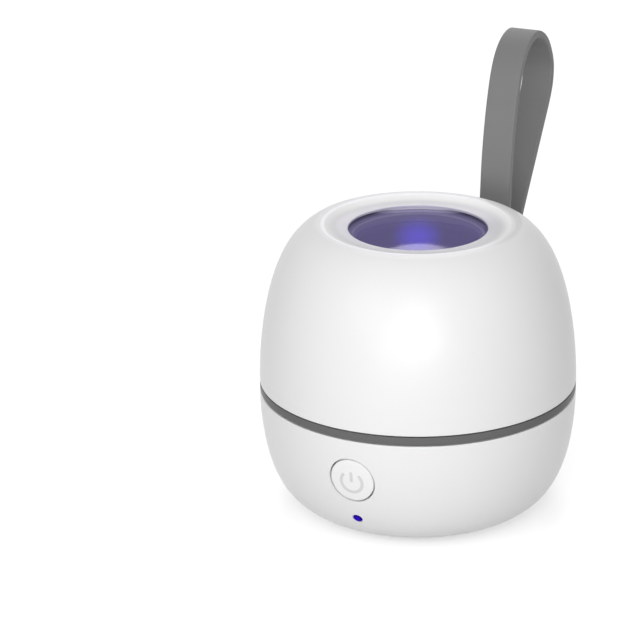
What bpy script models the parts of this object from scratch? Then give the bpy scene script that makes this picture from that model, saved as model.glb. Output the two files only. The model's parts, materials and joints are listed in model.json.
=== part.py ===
import bpy
import bmesh
from math import acos, asin, atan2, cos, hypot, pi, radians, sin, sqrt
from operator import mul
from mathutils import Vector

# A pocket sterilizer case for a pacifier: a round base with a lamp in its floor, a domed lid on a
# rear hinge, a silicone carrying loop on the same hinge pin, and a power button at the front.
# Lengths are in metres. The table is at height zero, +Z is up and the button faces -Y.

# Whole body
BODY_RADIUS = 0.035
SEAM_HEIGHT = 0.0295  # from the table to the lid's rim
BAND_HEIGHT = 0.00237  # dark band between the two shells
CLEARANCE = 0.0003  # left between pieces that touch
FINE_CLEARANCE = 0.0002  # left around discs and pins
OVERRUN = 0.001  # how far a cutter runs past a face
ROUND_STEPS = 48  # round the body
MEDIUM_STEPS = 24
SMALL_STEPS = 12
OUTER_STEPS = 10  # along a shell's outer curve
INNER_STEPS = 7  # along a wall's inner curve
BEND_STEPS = 3  # along a short rounded stretch
SHARP_ANGLE = 35  # degrees between faces, from which an edge stays sharp

# Lid dome: a superellipse whose top is taken off by a shallow dish
LID_HEIGHT = 0.03535  # from the seam to the crest round the dish
LID_WALL = 0.0024
DOME_FULL_SHARE = 1.058  # the dome's curve would reach this much higher without the dish
DOME_POWERS = (5.458, 1.823)
SHOULDER_RADIUS = 0.025  # where the dome rounds over to the crest
CREST_RADIUS = 0.0222
DISH_RADIUS = 0.0206  # where the crest rolls over into the dish
DISH_ROLL = 0.0002  # how far the crest falls there
DISH_DEPTH = 0.001  # from the crest to the window's edge
DISH_BEND_SHARE = 0.45  # where the dish turns level, as a share of its width

# Window in the dish
OPENING_RADIUS = 0.0152
OPENING_LIP = 0.0005
WINDOW_LEDGE = 0.0021  # how far the window reaches under the lip
WINDOW_THICKNESS = 0.0014
RING_THICKNESS = 0.001
RING_WIDTH = 0.0028

# Silver liner in the lid
LINER_THICKNESS = 0.001
LINER_START = 0.0033  # above the seam, over the collar's lip
LINER_OPENING_RADIUS = 0.0139

# Base bowl: a superellipse hung below the band, cut flat under the foot
BASE_WALL = 0.0022
BOWL_POWERS = (6.6, 2.041)
FOOT_PROUD = 0.0008  # the pad stands this far below the shell
FLOOR_THICKNESS = 0.0022
PAD_MARGIN = 0.0022  # from the pad's edge to the edge of the bowl's flat underside
PAD_RECESS = 0.0008

# Collar ring
LIP_HEIGHT = 0.0026  # above the seam
LIP_EDGE_RADIUS = 0.0009
LIP_THICKNESS = 0.0021
MOUTH_SLOPE = 0.0003
GROOVE_WIDTH = 0.0005
GROOVE_DEPTH = 0.0005
SPIGOT_DEPTH = 0.0021
SPIGOT_THICKNESS = 0.0012

# Chamber dish
CHAMBER_WALL = 0.001
CHAMBER_FLOOR_THICKNESS = 0.0012
CHAMBER_FLAT_RADIUS = 0.014
CHAMBER_POWERS = (1.25, 1.25)

# Lamp in the chamber floor
LENS_RADIUS = 0.011
LENS_THICKNESS = 0.001
SEAL_THICKNESS = 0.0005
SEAL_WIDTH = 0.0011
WELL_RADIUS = 0.0095
WELL_WALL = 0.0035
WELL_DEPTH = 0.0042
LAMP_BOARD_THICKNESS = 0.0008
LAMP_SIZE = 0.0035
LAMP_THICKNESS = 0.0012
LAMP_SPACING = 0.0064
LAMP_COUNT = 4
LAMP_CONNECTOR = (0.006, 0.0025, 0.0007)

# Main board and what it carries
BOARD_SPACE = 0.0004  # between the cell and the board
BOARD_MARGIN = 0.008  # from the board's edge to the body radius
BOARD_THICKNESS = 0.001
CONTROL_CHIP = (0.005, 0.005, 0.0009)
CONTROL_CHIP_PLACE_SHARES = (-0.5926, 0.1481)  # of the board's radius
CHARGE_CHIP = (0.003, 0.003, 0.0009)
CHARGE_CHIP_PLACE_SHARES = (0.4444, 0.5741)
CELL = (0.026, 0.0175, 0.0052)
CELL_BACK = 0.0035  # how far the cell sits behind the middle
CELL_EDGE_RADIUS = 0.0008
LEAD_RADIUS = 0.00045
LEAD_SPACING = 0.005
LEAD_REACH = 0.0042  # how far the leads stand out in front of the cell
LEAD_STEPS = 6

# Charging socket at the rear
SOCKET_SIZE = (0.009, 0.0073, 0.0032)
SOCKET_RECESS = 0.0012  # its mouth behind the shell's outer face
SOCKET_WALL = 0.0003
SOCKET_BACK = 0.0011
TONGUE_SIZE = (0.0067, 0.0047, 0.0007)
SOCKET_SLOT_MARGIN = 0.00035

# Case screws and their bosses
SCREW_COUNT = 3
SCREW_CIRCLE_RADIUS = 0.017
SCREW_RADIUS = 0.001
SCREW_HEAD_RADIUS = 0.002
SCREW_HEAD_THICKNESS = 0.0011
SCREW_BITE = 0.003  # thread length in the post
BOSS_WALL = 0.0009
POST_WALL = 0.001
BLIND_SPACE = 0.0008  # beyond the screw's point

# Power button and switch, placed along the shell's own normal
BUTTON_HEIGHT_SHARE = 0.6524  # its centre's height, of the bowl's
BUTTON_RADIUS = 0.00495
BUTTON_GAP = 0.00025
BUTTON_FLANGE = 0.0009  # how far the flange reaches past the hole
BUTTON_FLANGE_THICKNESS = 0.0007
STEM_RADIUS = 0.0015
STEM_LENGTH = 0.0006
BUTTON_TRAVEL = 0.0004
PLUNGER_RADIUS = 0.0013
PLUNGER_LENGTH = 0.0011
SWITCH_SIZE = 0.0045
SWITCH_THICKNESS = 0.0018
SWITCH_FLOOR = 0.0005
SWITCH_BOARD_WIDTH = 0.014
SWITCH_BOARD_THICKNESS = 0.0008
SENSOR_SIZE = (0.0029, 0.0013, 0.0011)
SENSOR_SIDE = 0.005

# Indicator light below the button
INDICATOR_HEIGHT_SHARE = 0.2838  # of the bowl's height
INDICATOR_RADIUS = 0.001
INDICATOR_LENS_LENGTH = 0.0032
INDICATOR_CHIP = (0.0016, 0.0008, 0.0009)

# Magnets in the two rims
MAGNET_LENGTH = 0.008
MAGNET_THICKNESS = 0.001
LID_MAGNET_HEIGHT = 0.003
LATCH_MAGNET_HEIGHT = 0.0024

# Hinge
HINGE_OFFSET = 0.0022  # pin's axis outside the body radius
PIN_RADIUS = 0.0008
PIN_HALF_LENGTH = 0.0098
LEAF_WIDTH = 0.0025
LEAF_SPACING = 0.0004
LID_LEAF_RISE = 0.0045
BASE_LEAF_DROP = 0.009
# Degrees round the pin that each knuckle's edge covers: 0 is straight back and 90 is up
LID_KNUCKLE_ARC = (180, 450)
BASE_KNUCKLE_ARC = (180, -40)
STRAP_EYE_ARC = (-25, -212)

# Carrying strap: a flat silicone band, looped, with an eye round the hinge pin
STRAP_WIDTH = 0.0075
STRAP_THICKNESS = 0.0017
STRAP_REACH = 0.0325  # from the pin back to the middle of the band
STRAP_HEIGHT = 0.0632  # from the pin up to the middle of the band
STRAP_EDGE = 0.0003
STRAP_EDGE_ANGLE = 60  # degrees between faces, from which an edge is softened
STRAP_STEPS = 3
STRAP_SPLIT_SHARE = 0.19  # the two runs part above this share of the height
# Middle of the band from the eye, up the front run, over the top and down the rear run
STRAP_ROUTE_SHARES = (
    (0.08, 0.087),
    (0.132, 0.166),
    (0.192, 0.372),
    (0.237, 0.595),
    (0.312, 0.776),
    (0.405, 0.905),
    (0.528, 0.975),
    (0.7, 1.0),
    (0.868, 0.962),
    (0.973, 0.888),
    (1.0, 0.823),
    (0.955, 0.744),
    (0.772, 0.603),
    (0.441, 0.355),
    (0.262, 0.204),
    (0.151, 0.104),
)

# Sizes that follow from those above
BAND_BOTTOM = SEAM_HEIGHT - BAND_HEIGHT
DOME_FULL_HEIGHT = LID_HEIGHT * DOME_FULL_SHARE
HINGE_BACK = BODY_RADIUS + HINGE_OFFSET
KNUCKLE_RADIUS = HINGE_OFFSET - CLEARANCE
PIN_HOLE_RADIUS = PIN_RADIUS + FINE_CLEARANCE
WINDOW_EDGE_HEIGHT = LID_HEIGHT - DISH_DEPTH
SEAT_RADIUS = OPENING_RADIUS + WINDOW_LEDGE
SEAT_HEIGHT = WINDOW_EDGE_HEIGHT - OPENING_LIP
WINDOW_TOP = SEAT_HEIGHT - FINE_CLEARANCE
WINDOW_BOTTOM = WINDOW_TOP - WINDOW_THICKNESS
RING_TOP = WINDOW_BOTTOM - FINE_CLEARANCE
CEILING_HEIGHT = RING_TOP - RING_THICKNESS
LINER_TOP = CEILING_HEIGHT - CLEARANCE
RECESS_TOP = FOOT_PROUD + PAD_RECESS
FLOOR_HEIGHT = FOOT_PROUD + FLOOR_THICKNESS
BAND_TOP = SEAM_HEIGHT - CLEARANCE
COLLAR_BOTTOM = BAND_BOTTOM + CLEARANCE
LIP_RADIUS = BODY_RADIUS - LID_WALL - CLEARANCE
MOUTH_RADIUS = LIP_RADIUS - LIP_THICKNESS
SPIGOT_RADIUS = BODY_RADIUS - BASE_WALL - CLEARANCE
SPIGOT_INSIDE = SPIGOT_RADIUS - SPIGOT_THICKNESS
CHAMBER_RADIUS = SPIGOT_INSIDE - CLEARANCE
CHAMBER_TOP = COLLAR_BOTTOM - CLEARANCE
BOARD_RADIUS = BODY_RADIUS - BOARD_MARGIN
BOARD_HEIGHT = FLOOR_HEIGHT + CLEARANCE + CELL[2] + BOARD_SPACE
BOARD_TOP = BOARD_HEIGHT + BOARD_THICKNESS
ON_BOARD = BOARD_TOP + CLEARANCE
WELL_BOTTOM = ON_BOARD + LAMP_CONNECTOR[2] + CLEARANCE
CHAMBER_FLOOR_HEIGHT = WELL_BOTTOM + WELL_DEPTH
CHAMBER_DEPTH = CHAMBER_TOP - CHAMBER_FLOOR_HEIGHT
CHAMBER_UNDERSIDE = CHAMBER_FLOOR_HEIGHT - CHAMBER_FLOOR_THICKNESS
LENS_BOTTOM = CHAMBER_FLOOR_HEIGHT - LENS_THICKNESS
SEAL_BOTTOM = LENS_BOTTOM - FINE_CLEARANCE - SEAL_THICKNESS
LEDGE_HEIGHT = SEAL_BOTTOM - FINE_CLEARANCE
LAMP_HEIGHT = WELL_BOTTOM + LAMP_BOARD_THICKNESS + CLEARANCE
BUTTON_HEIGHT = BAND_BOTTOM * BUTTON_HEIGHT_SHARE
INDICATOR_HEIGHT = BAND_BOTTOM * INDICATOR_HEIGHT_SHARE
SCREW_HOLE_RADIUS = SCREW_RADIUS + CLEARANCE
HEAD_HOLE_RADIUS = SCREW_HEAD_RADIUS + CLEARANCE
HEAD_HOLE_TOP = RECESS_TOP + SCREW_HEAD_THICKNESS + CLEARANCE
BOSS_RADIUS = HEAD_HOLE_RADIUS + BOSS_WALL
POST_RADIUS = SCREW_HOLE_RADIUS + POST_WALL
SCREW_TOP = ON_BOARD + SCREW_BITE
LID_PIVOT = Vector((0, HINGE_BACK, SEAM_HEIGHT))


def finish(piece, colour, roughness, metallic=0.0, alpha=1.0):
    """Gives the piece its own Principled material."""
    material = bpy.data.materials.new(piece.name)
    material.use_nodes = True
    shader = material.node_tree.nodes["Principled BSDF"]
    shader.inputs["Base Color"].default_value = (*colour, 1.0)
    shader.inputs["Roughness"].default_value = roughness
    shader.inputs["Metallic"].default_value = metallic
    shader.inputs["Alpha"].default_value = alpha
    material.diffuse_color = (*colour, alpha)
    piece.data.materials.append(material)
    return piece


def make_object(name, bm):
    """Turns a bmesh into an object with outward faces and smooth round sides."""
    bmesh.ops.recalc_face_normals(bm, faces=bm.faces)
    mesh = bpy.data.meshes.new(name)
    bm.to_mesh(mesh)
    bm.free()
    mesh.shade_smooth()
    mesh.set_sharp_from_angle(angle=radians(SHARP_ANGLE))
    piece = bpy.data.objects.new(name, mesh)
    bpy.context.scene.collection.objects.link(piece)
    return piece


def turned(name, profile, steps=ROUND_STEPS):
    """Solid of revolution about Z from a closed loop of (radius, height) points."""
    bm = bmesh.new()
    rings = []
    for radius, height in profile:
        if radius == 0:
            rings.append([bm.verts.new((0, 0, height))])
            continue
        angles = [2 * pi * step / steps for step in range(steps)]
        rings.append([bm.verts.new((radius * cos(a), radius * sin(a), height)) for a in angles])
    for lower, upper in zip(rings, rings[1:] + rings[:1]):
        for step in range(steps):
            after = (step + 1) % steps
            if len(lower) == 1 and len(upper) == 1:
                break
            if len(lower) == 1:
                bm.faces.new((lower[0], upper[after], upper[step]))
            elif len(upper) == 1:
                bm.faces.new((lower[step], lower[after], upper[0]))
            else:
                bm.faces.new((lower[step], lower[after], upper[after], upper[step]))
    return make_object(name, bm)


def disc(name, radius, bottom, top, steps=SMALL_STEPS):
    """Plain round solid about Z between two heights."""
    return turned(name, ((0, bottom), (radius, bottom), (radius, top), (0, top)), steps)


def washer(name, inside, outside, bottom, top, steps=ROUND_STEPS):
    """Flat ring about Z between two heights."""
    corners = ((inside, bottom), (outside, bottom), (outside, top), (inside, top))
    return turned(name, corners, steps)


def extruded(name, loops, start, end):
    """Solid between two local heights from flat loops: the outline first, then its holes."""
    bm = bmesh.new()
    edges = []
    for loop in loops:
        verts = [bm.verts.new((x, y, start)) for x, y in loop]
        edges += [bm.edges.new(pair) for pair in zip(verts, verts[1:] + verts[:1])]
    bmesh.ops.triangle_fill(bm, use_beauty=True, edges=edges)
    made = bmesh.ops.extrude_face_region(bm, geom=bm.faces[:])
    moved = [part for part in made["geom"] if isinstance(part, bmesh.types.BMVert)]
    bmesh.ops.translate(bm, verts=moved, vec=(0, 0, end - start))
    return make_object(name, bm)


def block(name, size, low_corner):
    """Rectangular solid from its lowest corner, with its origin at its middle."""
    bm = bmesh.new()
    bmesh.ops.create_cube(bm, size=1)
    bmesh.ops.scale(bm, vec=size, verts=bm.verts)
    piece = make_object(name, bm)
    piece.location = [low + length / 2 for low, length in zip(low_corner, size)]
    return piece


def circle(radius, centre=(0, 0), steps=SMALL_STEPS):
    """Points round a flat circle."""
    angles = [2 * pi * step / steps for step in range(steps)]
    return [(centre[0] + radius * cos(a), centre[1] + radius * sin(a)) for a in angles]


def arc(radius, start, end, steps=SMALL_STEPS):
    """Points on a flat arc about the origin, between two angles in degrees."""
    angles = [radians(start + (end - start) * step / steps) for step in range(steps + 1)]
    return [(radius * cos(a), radius * sin(a)) for a in angles]


def bend(first, corner, last, steps=BEND_STEPS):
    """Points after the first on the smooth curve that leaves and arrives towards the corner."""
    points = []
    for step in range(1, steps + 1):
        t = step / steps
        weights = ((1 - t) ** 2, 2 * t * (1 - t), t**2)
        out, up = (sum(map(mul, weights, places)) for places in zip(first, corner, last))
        points.append((out, up))
    return points


def angle_at_radius(share, powers):
    """Angle on a superellipse where its radius is this share of the full one."""
    return acos(share ** (powers[0] / 2))


def angle_at_height(share, powers):
    """Angle on a superellipse where its height is this share of the full one."""
    return asin(share ** (powers[1] / 2))


def superellipse(radius, height, powers, start, end, steps):
    """Points (radius, height) on a superellipse between two of its angles."""
    points = []
    for step in range(steps + 1):
        angle = start + (end - start) * step / steps
        out = radius * cos(angle) ** (2 / powers[0])
        up = height * sin(angle) ** (2 / powers[1])
        points.append((out, up))
    return points


def steepness(point, radius, height, powers):
    """Fall per unit of radius at a point on a superellipse."""
    out_part = powers[0] / radius * (point[0] / radius) ** (powers[0] - 1)
    up_part = powers[1] / height * (point[1] / height) ** (powers[1] - 1)
    return out_part / up_part


def hung(points):
    """Turns heights above the seam's band into heights above the table, for the bowl."""
    return [(radius, BAND_BOTTOM - height) for radius, height in points]


def shape_with(piece, operation, tools):
    """Adds, cuts or trims a piece with helpers that don't touch each other, joined into one."""
    bpy.context.view_layer.update()
    to_piece = piece.matrix_world.inverted()
    bm = bmesh.new()
    for tool in tools:
        first = len(bm.verts)
        bm.from_mesh(tool.data)
        bm.verts.ensure_lookup_table()
        bmesh.ops.transform(bm, matrix=to_piece @ tool.matrix_world, verts=bm.verts[first:])
    helper = make_object(f"{piece.name}_{operation.lower()}", bm)
    for tool in tools:
        bpy.data.objects.remove(tool)
    helper.parent = piece
    helper.hide_render = True
    helper.display_type = "WIRE"
    modifier = piece.modifiers.new(helper.name, "BOOLEAN")
    modifier.operation = operation
    modifier.solver = "EXACT"
    modifier.object = helper


def pivot_at(name, place, rotation=(0, 0, 0)):
    """An empty that stands for a joint's axis or a mounting face."""
    pivot = bpy.data.objects.new(name, None)
    bpy.context.scene.collection.objects.link(pivot)
    pivot.location = place
    pivot.rotation_euler = rotation
    pivot.empty_display_size = BUTTON_RADIUS
    return pivot


def bowl_face(height):
    """Radius of the bowl's outer face at a height, and how far its normal dips, in radians."""
    hang = BAND_BOTTOM - height
    angle = angle_at_height(hang / BAND_BOTTOM, BOWL_POWERS)
    radius = BODY_RADIUS * cos(angle) ** (2 / BOWL_POWERS[0])
    dip = atan2(1, steepness((radius, hang), BODY_RADIUS, BAND_BOTTOM, BOWL_POWERS))
    return radius, dip


def front_pivot(name, height):
    """An empty on the bowl's front face: local Z is the outward normal and local Y is up."""
    radius, dip = bowl_face(height)
    return pivot_at(name, (0, -radius, height), (pi / 2 + dip, 0, 0))


def bowl_outline():
    """The bowl's outer curve, from the band down to the flat underside."""
    end = angle_at_height((BAND_BOTTOM - FOOT_PROUD) / BAND_BOTTOM, BOWL_POWERS)
    return hung(superellipse(BODY_RADIUS, BAND_BOTTOM, BOWL_POWERS, 0, end, OUTER_STEPS))


def pad_radius():
    """The foot pad stays inside the bowl's flat underside."""
    return bowl_outline()[-1][0] - PAD_MARGIN


def bowl_core():
    """The bowl's outer form as one solid, for trimming what lies flush with it."""
    return turned("bowl_core", [(0, BAND_BOTTOM)] + bowl_outline() + [(0, FOOT_PROUD)])


def across(piece):
    """Turns a flat outline drawn as (back, up) to stand across the body, with its depth along X."""
    piece.rotation_euler = (pi / 2, 0, pi / 2)
    return piece


def dome_outline():
    """The lid's outer curve: wall, shoulder, crest, and dish down to the window's edge."""
    end = angle_at_radius(SHOULDER_RADIUS / BODY_RADIUS, DOME_POWERS)
    curve = superellipse(BODY_RADIUS, DOME_FULL_HEIGHT, DOME_POWERS, 0, end, OUTER_STEPS)
    shoulder = curve[-1]
    slope = steepness(shoulder, BODY_RADIUS, DOME_FULL_HEIGHT, DOME_POWERS)
    corner = (shoulder[0] - (LID_HEIGHT - shoulder[1]) / slope, LID_HEIGHT)
    crest = (CREST_RADIUS, LID_HEIGHT)
    curve += bend(shoulder, corner, crest)
    dish_edge = (DISH_RADIUS, LID_HEIGHT - DISH_ROLL)
    curve += bend(crest, ((CREST_RADIUS + DISH_RADIUS) / 2, LID_HEIGHT), dish_edge)
    window_edge = (OPENING_RADIUS, WINDOW_EDGE_HEIGHT)
    turn_radius = DISH_RADIUS - (DISH_RADIUS - OPENING_RADIUS) * DISH_BEND_SHARE
    return curve + bend(dish_edge, (turn_radius, WINDOW_EDGE_HEIGHT), window_edge)


def dome_inside(inset, low, high):
    """The lid's curve set in by a wall, between two heights above the seam."""
    radius = BODY_RADIUS - inset
    height = DOME_FULL_HEIGHT - inset
    start = angle_at_height(low / height, DOME_POWERS)
    end = angle_at_height(high / height, DOME_POWERS)
    return superellipse(radius, height, DOME_POWERS, start, end, INNER_STEPS)


def leaf_middle(order):
    """X at the middle of a hinge leaf, counted outwards from the strap's eye."""
    first_edge = STRAP_WIDTH / 2 + LEAF_SPACING
    return first_edge + LEAF_WIDTH / 2 + order * (LEAF_WIDTH + LEAF_SPACING)


def leaf_root(order, wall):
    """How far behind the pin the middle of a shell's wall lies, at a leaf."""
    return sqrt((BODY_RADIUS - wall / 2) ** 2 - leaf_middle(order) ** 2) - HINGE_BACK


def hinge_leaves(outline, order):
    """A pair of knuckles with their arms, one on each side of the strap, as helpers."""
    pair = []
    for side in (-1, 1):
        middle = side * leaf_middle(order)
        leaf = extruded("knuckle", [outline], middle - LEAF_WIDTH / 2, middle + LEAF_WIDTH / 2)
        pair.append(across(leaf))
    return pair


def pin_hole():
    """A helper that bores the hinge pin's hole right across."""
    reach = PIN_HALF_LENGTH + LEAF_WIDTH
    return across(extruded("pin_hole", [circle(PIN_HOLE_RADIUS)], -reach, reach))


def rim_slot(wall, height, bottom):
    """A helper that cuts a magnet's pocket into the front of a shell's rim."""
    size = (MAGNET_LENGTH + 2 * CLEARANCE, MAGNET_THICKNESS + 2 * FINE_CLEARANCE, height)
    middle = BODY_RADIUS - wall / 2
    return block("rim_slot", size, (-size[0] / 2, -middle - size[1] / 2, bottom))


def rim_magnet(name, wall, height, bottom):
    """A bar magnet in the front of a shell's rim."""
    middle = BODY_RADIUS - wall / 2
    size = (MAGNET_LENGTH, MAGNET_THICKNESS, height)
    magnet = block(name, size, (-MAGNET_LENGTH / 2, -middle - MAGNET_THICKNESS / 2, bottom))
    return finish(magnet, (0.55, 0.55, 0.57), 0.3, 1.0)


def hang_on(pivot, piece):
    """Carries a piece drawn about the body's axis, with heights from the seam, on the lid's axis."""
    piece.location.y -= HINGE_BACK
    piece.parent = pivot
    return piece


def make_lid(pivot):
    """Dome, window, ring, liner and magnet, all carried by the lid's hinge axis."""
    inside = dome_inside(LID_WALL, 0, CEILING_HEIGHT)
    seat = [(OPENING_RADIUS, SEAT_HEIGHT), (SEAT_RADIUS, SEAT_HEIGHT), (SEAT_RADIUS, CEILING_HEIGHT)]
    shell = hang_on(pivot, turned("lid_shell", dome_outline() + seat + inside[::-1]))
    root = leaf_root(0, LID_WALL)
    knuckle = arc(KNUCKLE_RADIUS, *LID_KNUCKLE_ARC)
    leaf = [(root, FINE_CLEARANCE)] + knuckle + [(root, LID_LEAF_RISE)]
    knuckles = hinge_leaves(leaf, 0)
    bore = pin_hole()
    for tool in knuckles + [bore]:
        tool.parent = pivot
    shape_with(shell, "UNION", knuckles)
    slot_height = LID_MAGNET_HEIGHT + 2 * CLEARANCE
    slot = hang_on(pivot, rim_slot(LID_WALL, slot_height + OVERRUN, -OVERRUN))
    shape_with(shell, "DIFFERENCE", [bore, slot])
    finish(shell, (0.9, 0.9, 0.9), 0.2)

    outside = SEAT_RADIUS - CLEARANCE
    window = hang_on(pivot, disc("lid_window", outside, WINDOW_BOTTOM, WINDOW_TOP, ROUND_STEPS))
    finish(window, (0.22, 0.14, 0.55), 0.05, alpha=0.6)
    ring = hang_on(pivot, washer("window_ring", outside - RING_WIDTH, outside, CEILING_HEIGHT, RING_TOP))
    finish(ring, (0.12, 0.11, 0.16), 0.4)

    face = dome_inside(LID_WALL + CLEARANCE, LINER_START, LINER_TOP)
    liner_ceiling = LINER_TOP - LINER_THICKNESS
    back = dome_inside(LID_WALL + CLEARANCE + LINER_THICKNESS, LINER_START, liner_ceiling)
    hole = [(LINER_OPENING_RADIUS, LINER_TOP), (LINER_OPENING_RADIUS, liner_ceiling)]
    liner = hang_on(pivot, turned("lid_liner", face + hole + back[::-1]))
    finish(liner, (0.62, 0.63, 0.64), 0.35, 0.6)
    hang_on(pivot, rim_magnet("lid_magnet", LID_WALL, LID_MAGNET_HEIGHT, CLEARANCE))


def screw_places():
    """Middle of each screw, one of them at the rear."""
    angles = [pi / 2 + 2 * pi * order / SCREW_COUNT for order in range(SCREW_COUNT)]
    return [(SCREW_CIRCLE_RADIUS * cos(a), SCREW_CIRCLE_RADIUS * sin(a)) for a in angles]


def stadium(width, height):
    """Flat slot outline with round ends."""
    radius = height / 2
    straight = width / 2 - radius
    right = [(x + straight, y) for x, y in arc(radius, -90, 90, SMALL_STEPS // 2)]
    left = [(x - straight, y) for x, y in arc(radius, 90, 270, SMALL_STEPS // 2)]
    return right + left


def socket_place():
    """Back of the socket's mouth and the height of its middle."""
    middle = ON_BOARD + SOCKET_SIZE[2] / 2
    radius, _ = bowl_face(middle)
    return radius - SOCKET_RECESS, middle


def boss_tools():
    """Helpers that add the screw bosses to the bowl's floor, and helpers that bore them."""
    hole_profile = (
        (0, FOOT_PROUD),
        (HEAD_HOLE_RADIUS, FOOT_PROUD),
        (HEAD_HOLE_RADIUS, HEAD_HOLE_TOP),
        (SCREW_HOLE_RADIUS, HEAD_HOLE_TOP),
        (SCREW_HOLE_RADIUS, BOARD_HEIGHT),
        (0, BOARD_HEIGHT),
    )
    bosses = []
    holes = []
    for x, y in screw_places():
        bosses.append(disc("boss", BOSS_RADIUS, RECESS_TOP + CLEARANCE, BOARD_HEIGHT - CLEARANCE))
        holes.append(turned("screw_hole", hole_profile, SMALL_STEPS))
        for tool in (bosses[-1], holes[-1]):
            tool.location = (x, y, 0)
    return bosses, holes


def face_holes(button, indicator):
    """Helpers that cut the round holes for the button and the indicator."""
    inner_end = -2 * BASE_WALL
    outer_end = 2 * OVERRUN
    button_hole = disc("button_hole", BUTTON_RADIUS + BUTTON_GAP, inner_end, outer_end, MEDIUM_STEPS)
    button_hole.parent = button
    indicator_hole = disc("indicator_hole", INDICATOR_RADIUS + FINE_CLEARANCE, inner_end, outer_end)
    indicator_hole.parent = indicator
    return button_hole, indicator_hole


def charging_slot():
    """A helper that cuts the charging socket's slot through the rear wall."""
    mouth, middle = socket_place()
    width = SOCKET_SIZE[0] + 2 * SOCKET_SLOT_MARGIN
    height = SOCKET_SIZE[2] + 2 * SOCKET_SLOT_MARGIN
    slot = extruded("charging_slot", [stadium(width, height)], -BODY_RADIUS, SOCKET_SIZE[1] - mouth)
    slot.location.z = middle
    slot.rotation_euler.x = pi / 2
    return slot


def make_base_shell(hinge, button, indicator):
    """The white bowl with its bosses, hinge arms, pockets and openings."""
    inner_radius = BODY_RADIUS - BASE_WALL
    inner_depth = BAND_BOTTOM - BASE_WALL
    end = angle_at_height((BAND_BOTTOM - FLOOR_HEIGHT) / inner_depth, BOWL_POWERS)
    inside = hung(superellipse(inner_radius, inner_depth, BOWL_POWERS, 0, end, INNER_STEPS))
    recess = pad_radius() + CLEARANCE
    foot = [(recess, FOOT_PROUD), (recess, RECESS_TOP), (0, RECESS_TOP), (0, FLOOR_HEIGHT)]
    shell = turned("base_shell", bowl_outline() + foot + inside[::-1])

    root = leaf_root(1, BASE_WALL)
    near_edge = leaf_middle(1) - LEAF_WIDTH / 2
    step_out = sqrt(BODY_RADIUS**2 - near_edge**2) + CLEARANCE - HINGE_BACK
    step_height = -BAND_HEIGHT - CLEARANCE
    leaf = [(root, -BASE_LEAF_DROP), (root, step_height), (step_out, step_height)]
    leaf += arc(KNUCKLE_RADIUS, *BASE_KNUCKLE_ARC)
    knuckles = hinge_leaves(leaf, 1)
    bore = pin_hole()
    for tool in knuckles + [bore]:
        tool.location = hinge.location

    bosses, screw_holes = boss_tools()
    shape_with(shell, "UNION", knuckles + bosses)
    slot_height = LATCH_MAGNET_HEIGHT + 2 * CLEARANCE
    slot = rim_slot(BASE_WALL, slot_height + OVERRUN, BAND_BOTTOM - slot_height)
    openings = [slot, *face_holes(button, indicator), charging_slot()]
    shape_with(shell, "DIFFERENCE", [bore, *screw_holes, *openings])
    finish(shell, (0.9, 0.9, 0.9), 0.2)


def make_foot_and_screws():
    """The round foot pad and the screws that it hides."""
    pad = disc("foot_pad", pad_radius(), 0, RECESS_TOP - CLEARANCE, ROUND_STEPS)
    finish(pad, (0.25, 0.25, 0.26), 0.7)
    head_top = RECESS_TOP + SCREW_HEAD_THICKNESS
    point = SCREW_RADIUS / 2
    profile = (
        (0, RECESS_TOP),
        (SCREW_HEAD_RADIUS, RECESS_TOP),
        (SCREW_HEAD_RADIUS, head_top),
        (SCREW_RADIUS, head_top),
        (SCREW_RADIUS, SCREW_TOP - point),
        (point, SCREW_TOP),
        (0, SCREW_TOP),
    )
    for order, (x, y) in enumerate(screw_places(), start=1):
        screw = turned(f"case_screw_{order}", profile, SMALL_STEPS)
        screw.location = (x, y, 0)
        finish(screw, (0.6, 0.6, 0.62), 0.3, 1.0)


def make_collar():
    """The dark band with its raised lip and the spigot that locates it in the bowl."""
    lip_top = SEAM_HEIGHT + LIP_HEIGHT
    groove_radius = LIP_RADIUS + GROOVE_WIDTH
    crown = (LIP_RADIUS - LIP_EDGE_RADIUS, lip_top)
    profile = [
        (BODY_RADIUS, COLLAR_BOTTOM),
        (BODY_RADIUS, BAND_TOP),
        (groove_radius, BAND_TOP),
        (groove_radius, BAND_TOP - GROOVE_DEPTH),
        (LIP_RADIUS, BAND_TOP - GROOVE_DEPTH),
        (LIP_RADIUS, lip_top - LIP_EDGE_RADIUS),
    ]
    profile += bend(profile[-1], (LIP_RADIUS, lip_top), crown)
    rim = (MOUTH_RADIUS + MOUTH_SLOPE, lip_top - LIP_EDGE_RADIUS)
    profile += bend(crown, (MOUTH_RADIUS + MOUTH_SLOPE, lip_top), rim)
    profile += [
        (MOUTH_RADIUS, BAND_TOP),
        (MOUTH_RADIUS, COLLAR_BOTTOM),
        (SPIGOT_INSIDE, COLLAR_BOTTOM),
        (SPIGOT_INSIDE, COLLAR_BOTTOM - SPIGOT_DEPTH),
        (SPIGOT_RADIUS, COLLAR_BOTTOM - SPIGOT_DEPTH),
        (SPIGOT_RADIUS, COLLAR_BOTTOM),
    ]
    finish(turned("collar_ring", profile), (0.13, 0.13, 0.13), 0.45)


def dish_curve(wall, floor_thickness):
    """The chamber's side, from its rim down to the edge of its flat floor."""
    reach = CHAMBER_RADIUS - CHAMBER_WALL + wall - CHAMBER_FLAT_RADIUS
    depth = CHAMBER_DEPTH + floor_thickness
    side = superellipse(reach, depth, CHAMBER_POWERS, 0, pi / 2, INNER_STEPS)
    return [(CHAMBER_FLAT_RADIUS + radius, CHAMBER_TOP - fall) for radius, fall in side]


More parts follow.
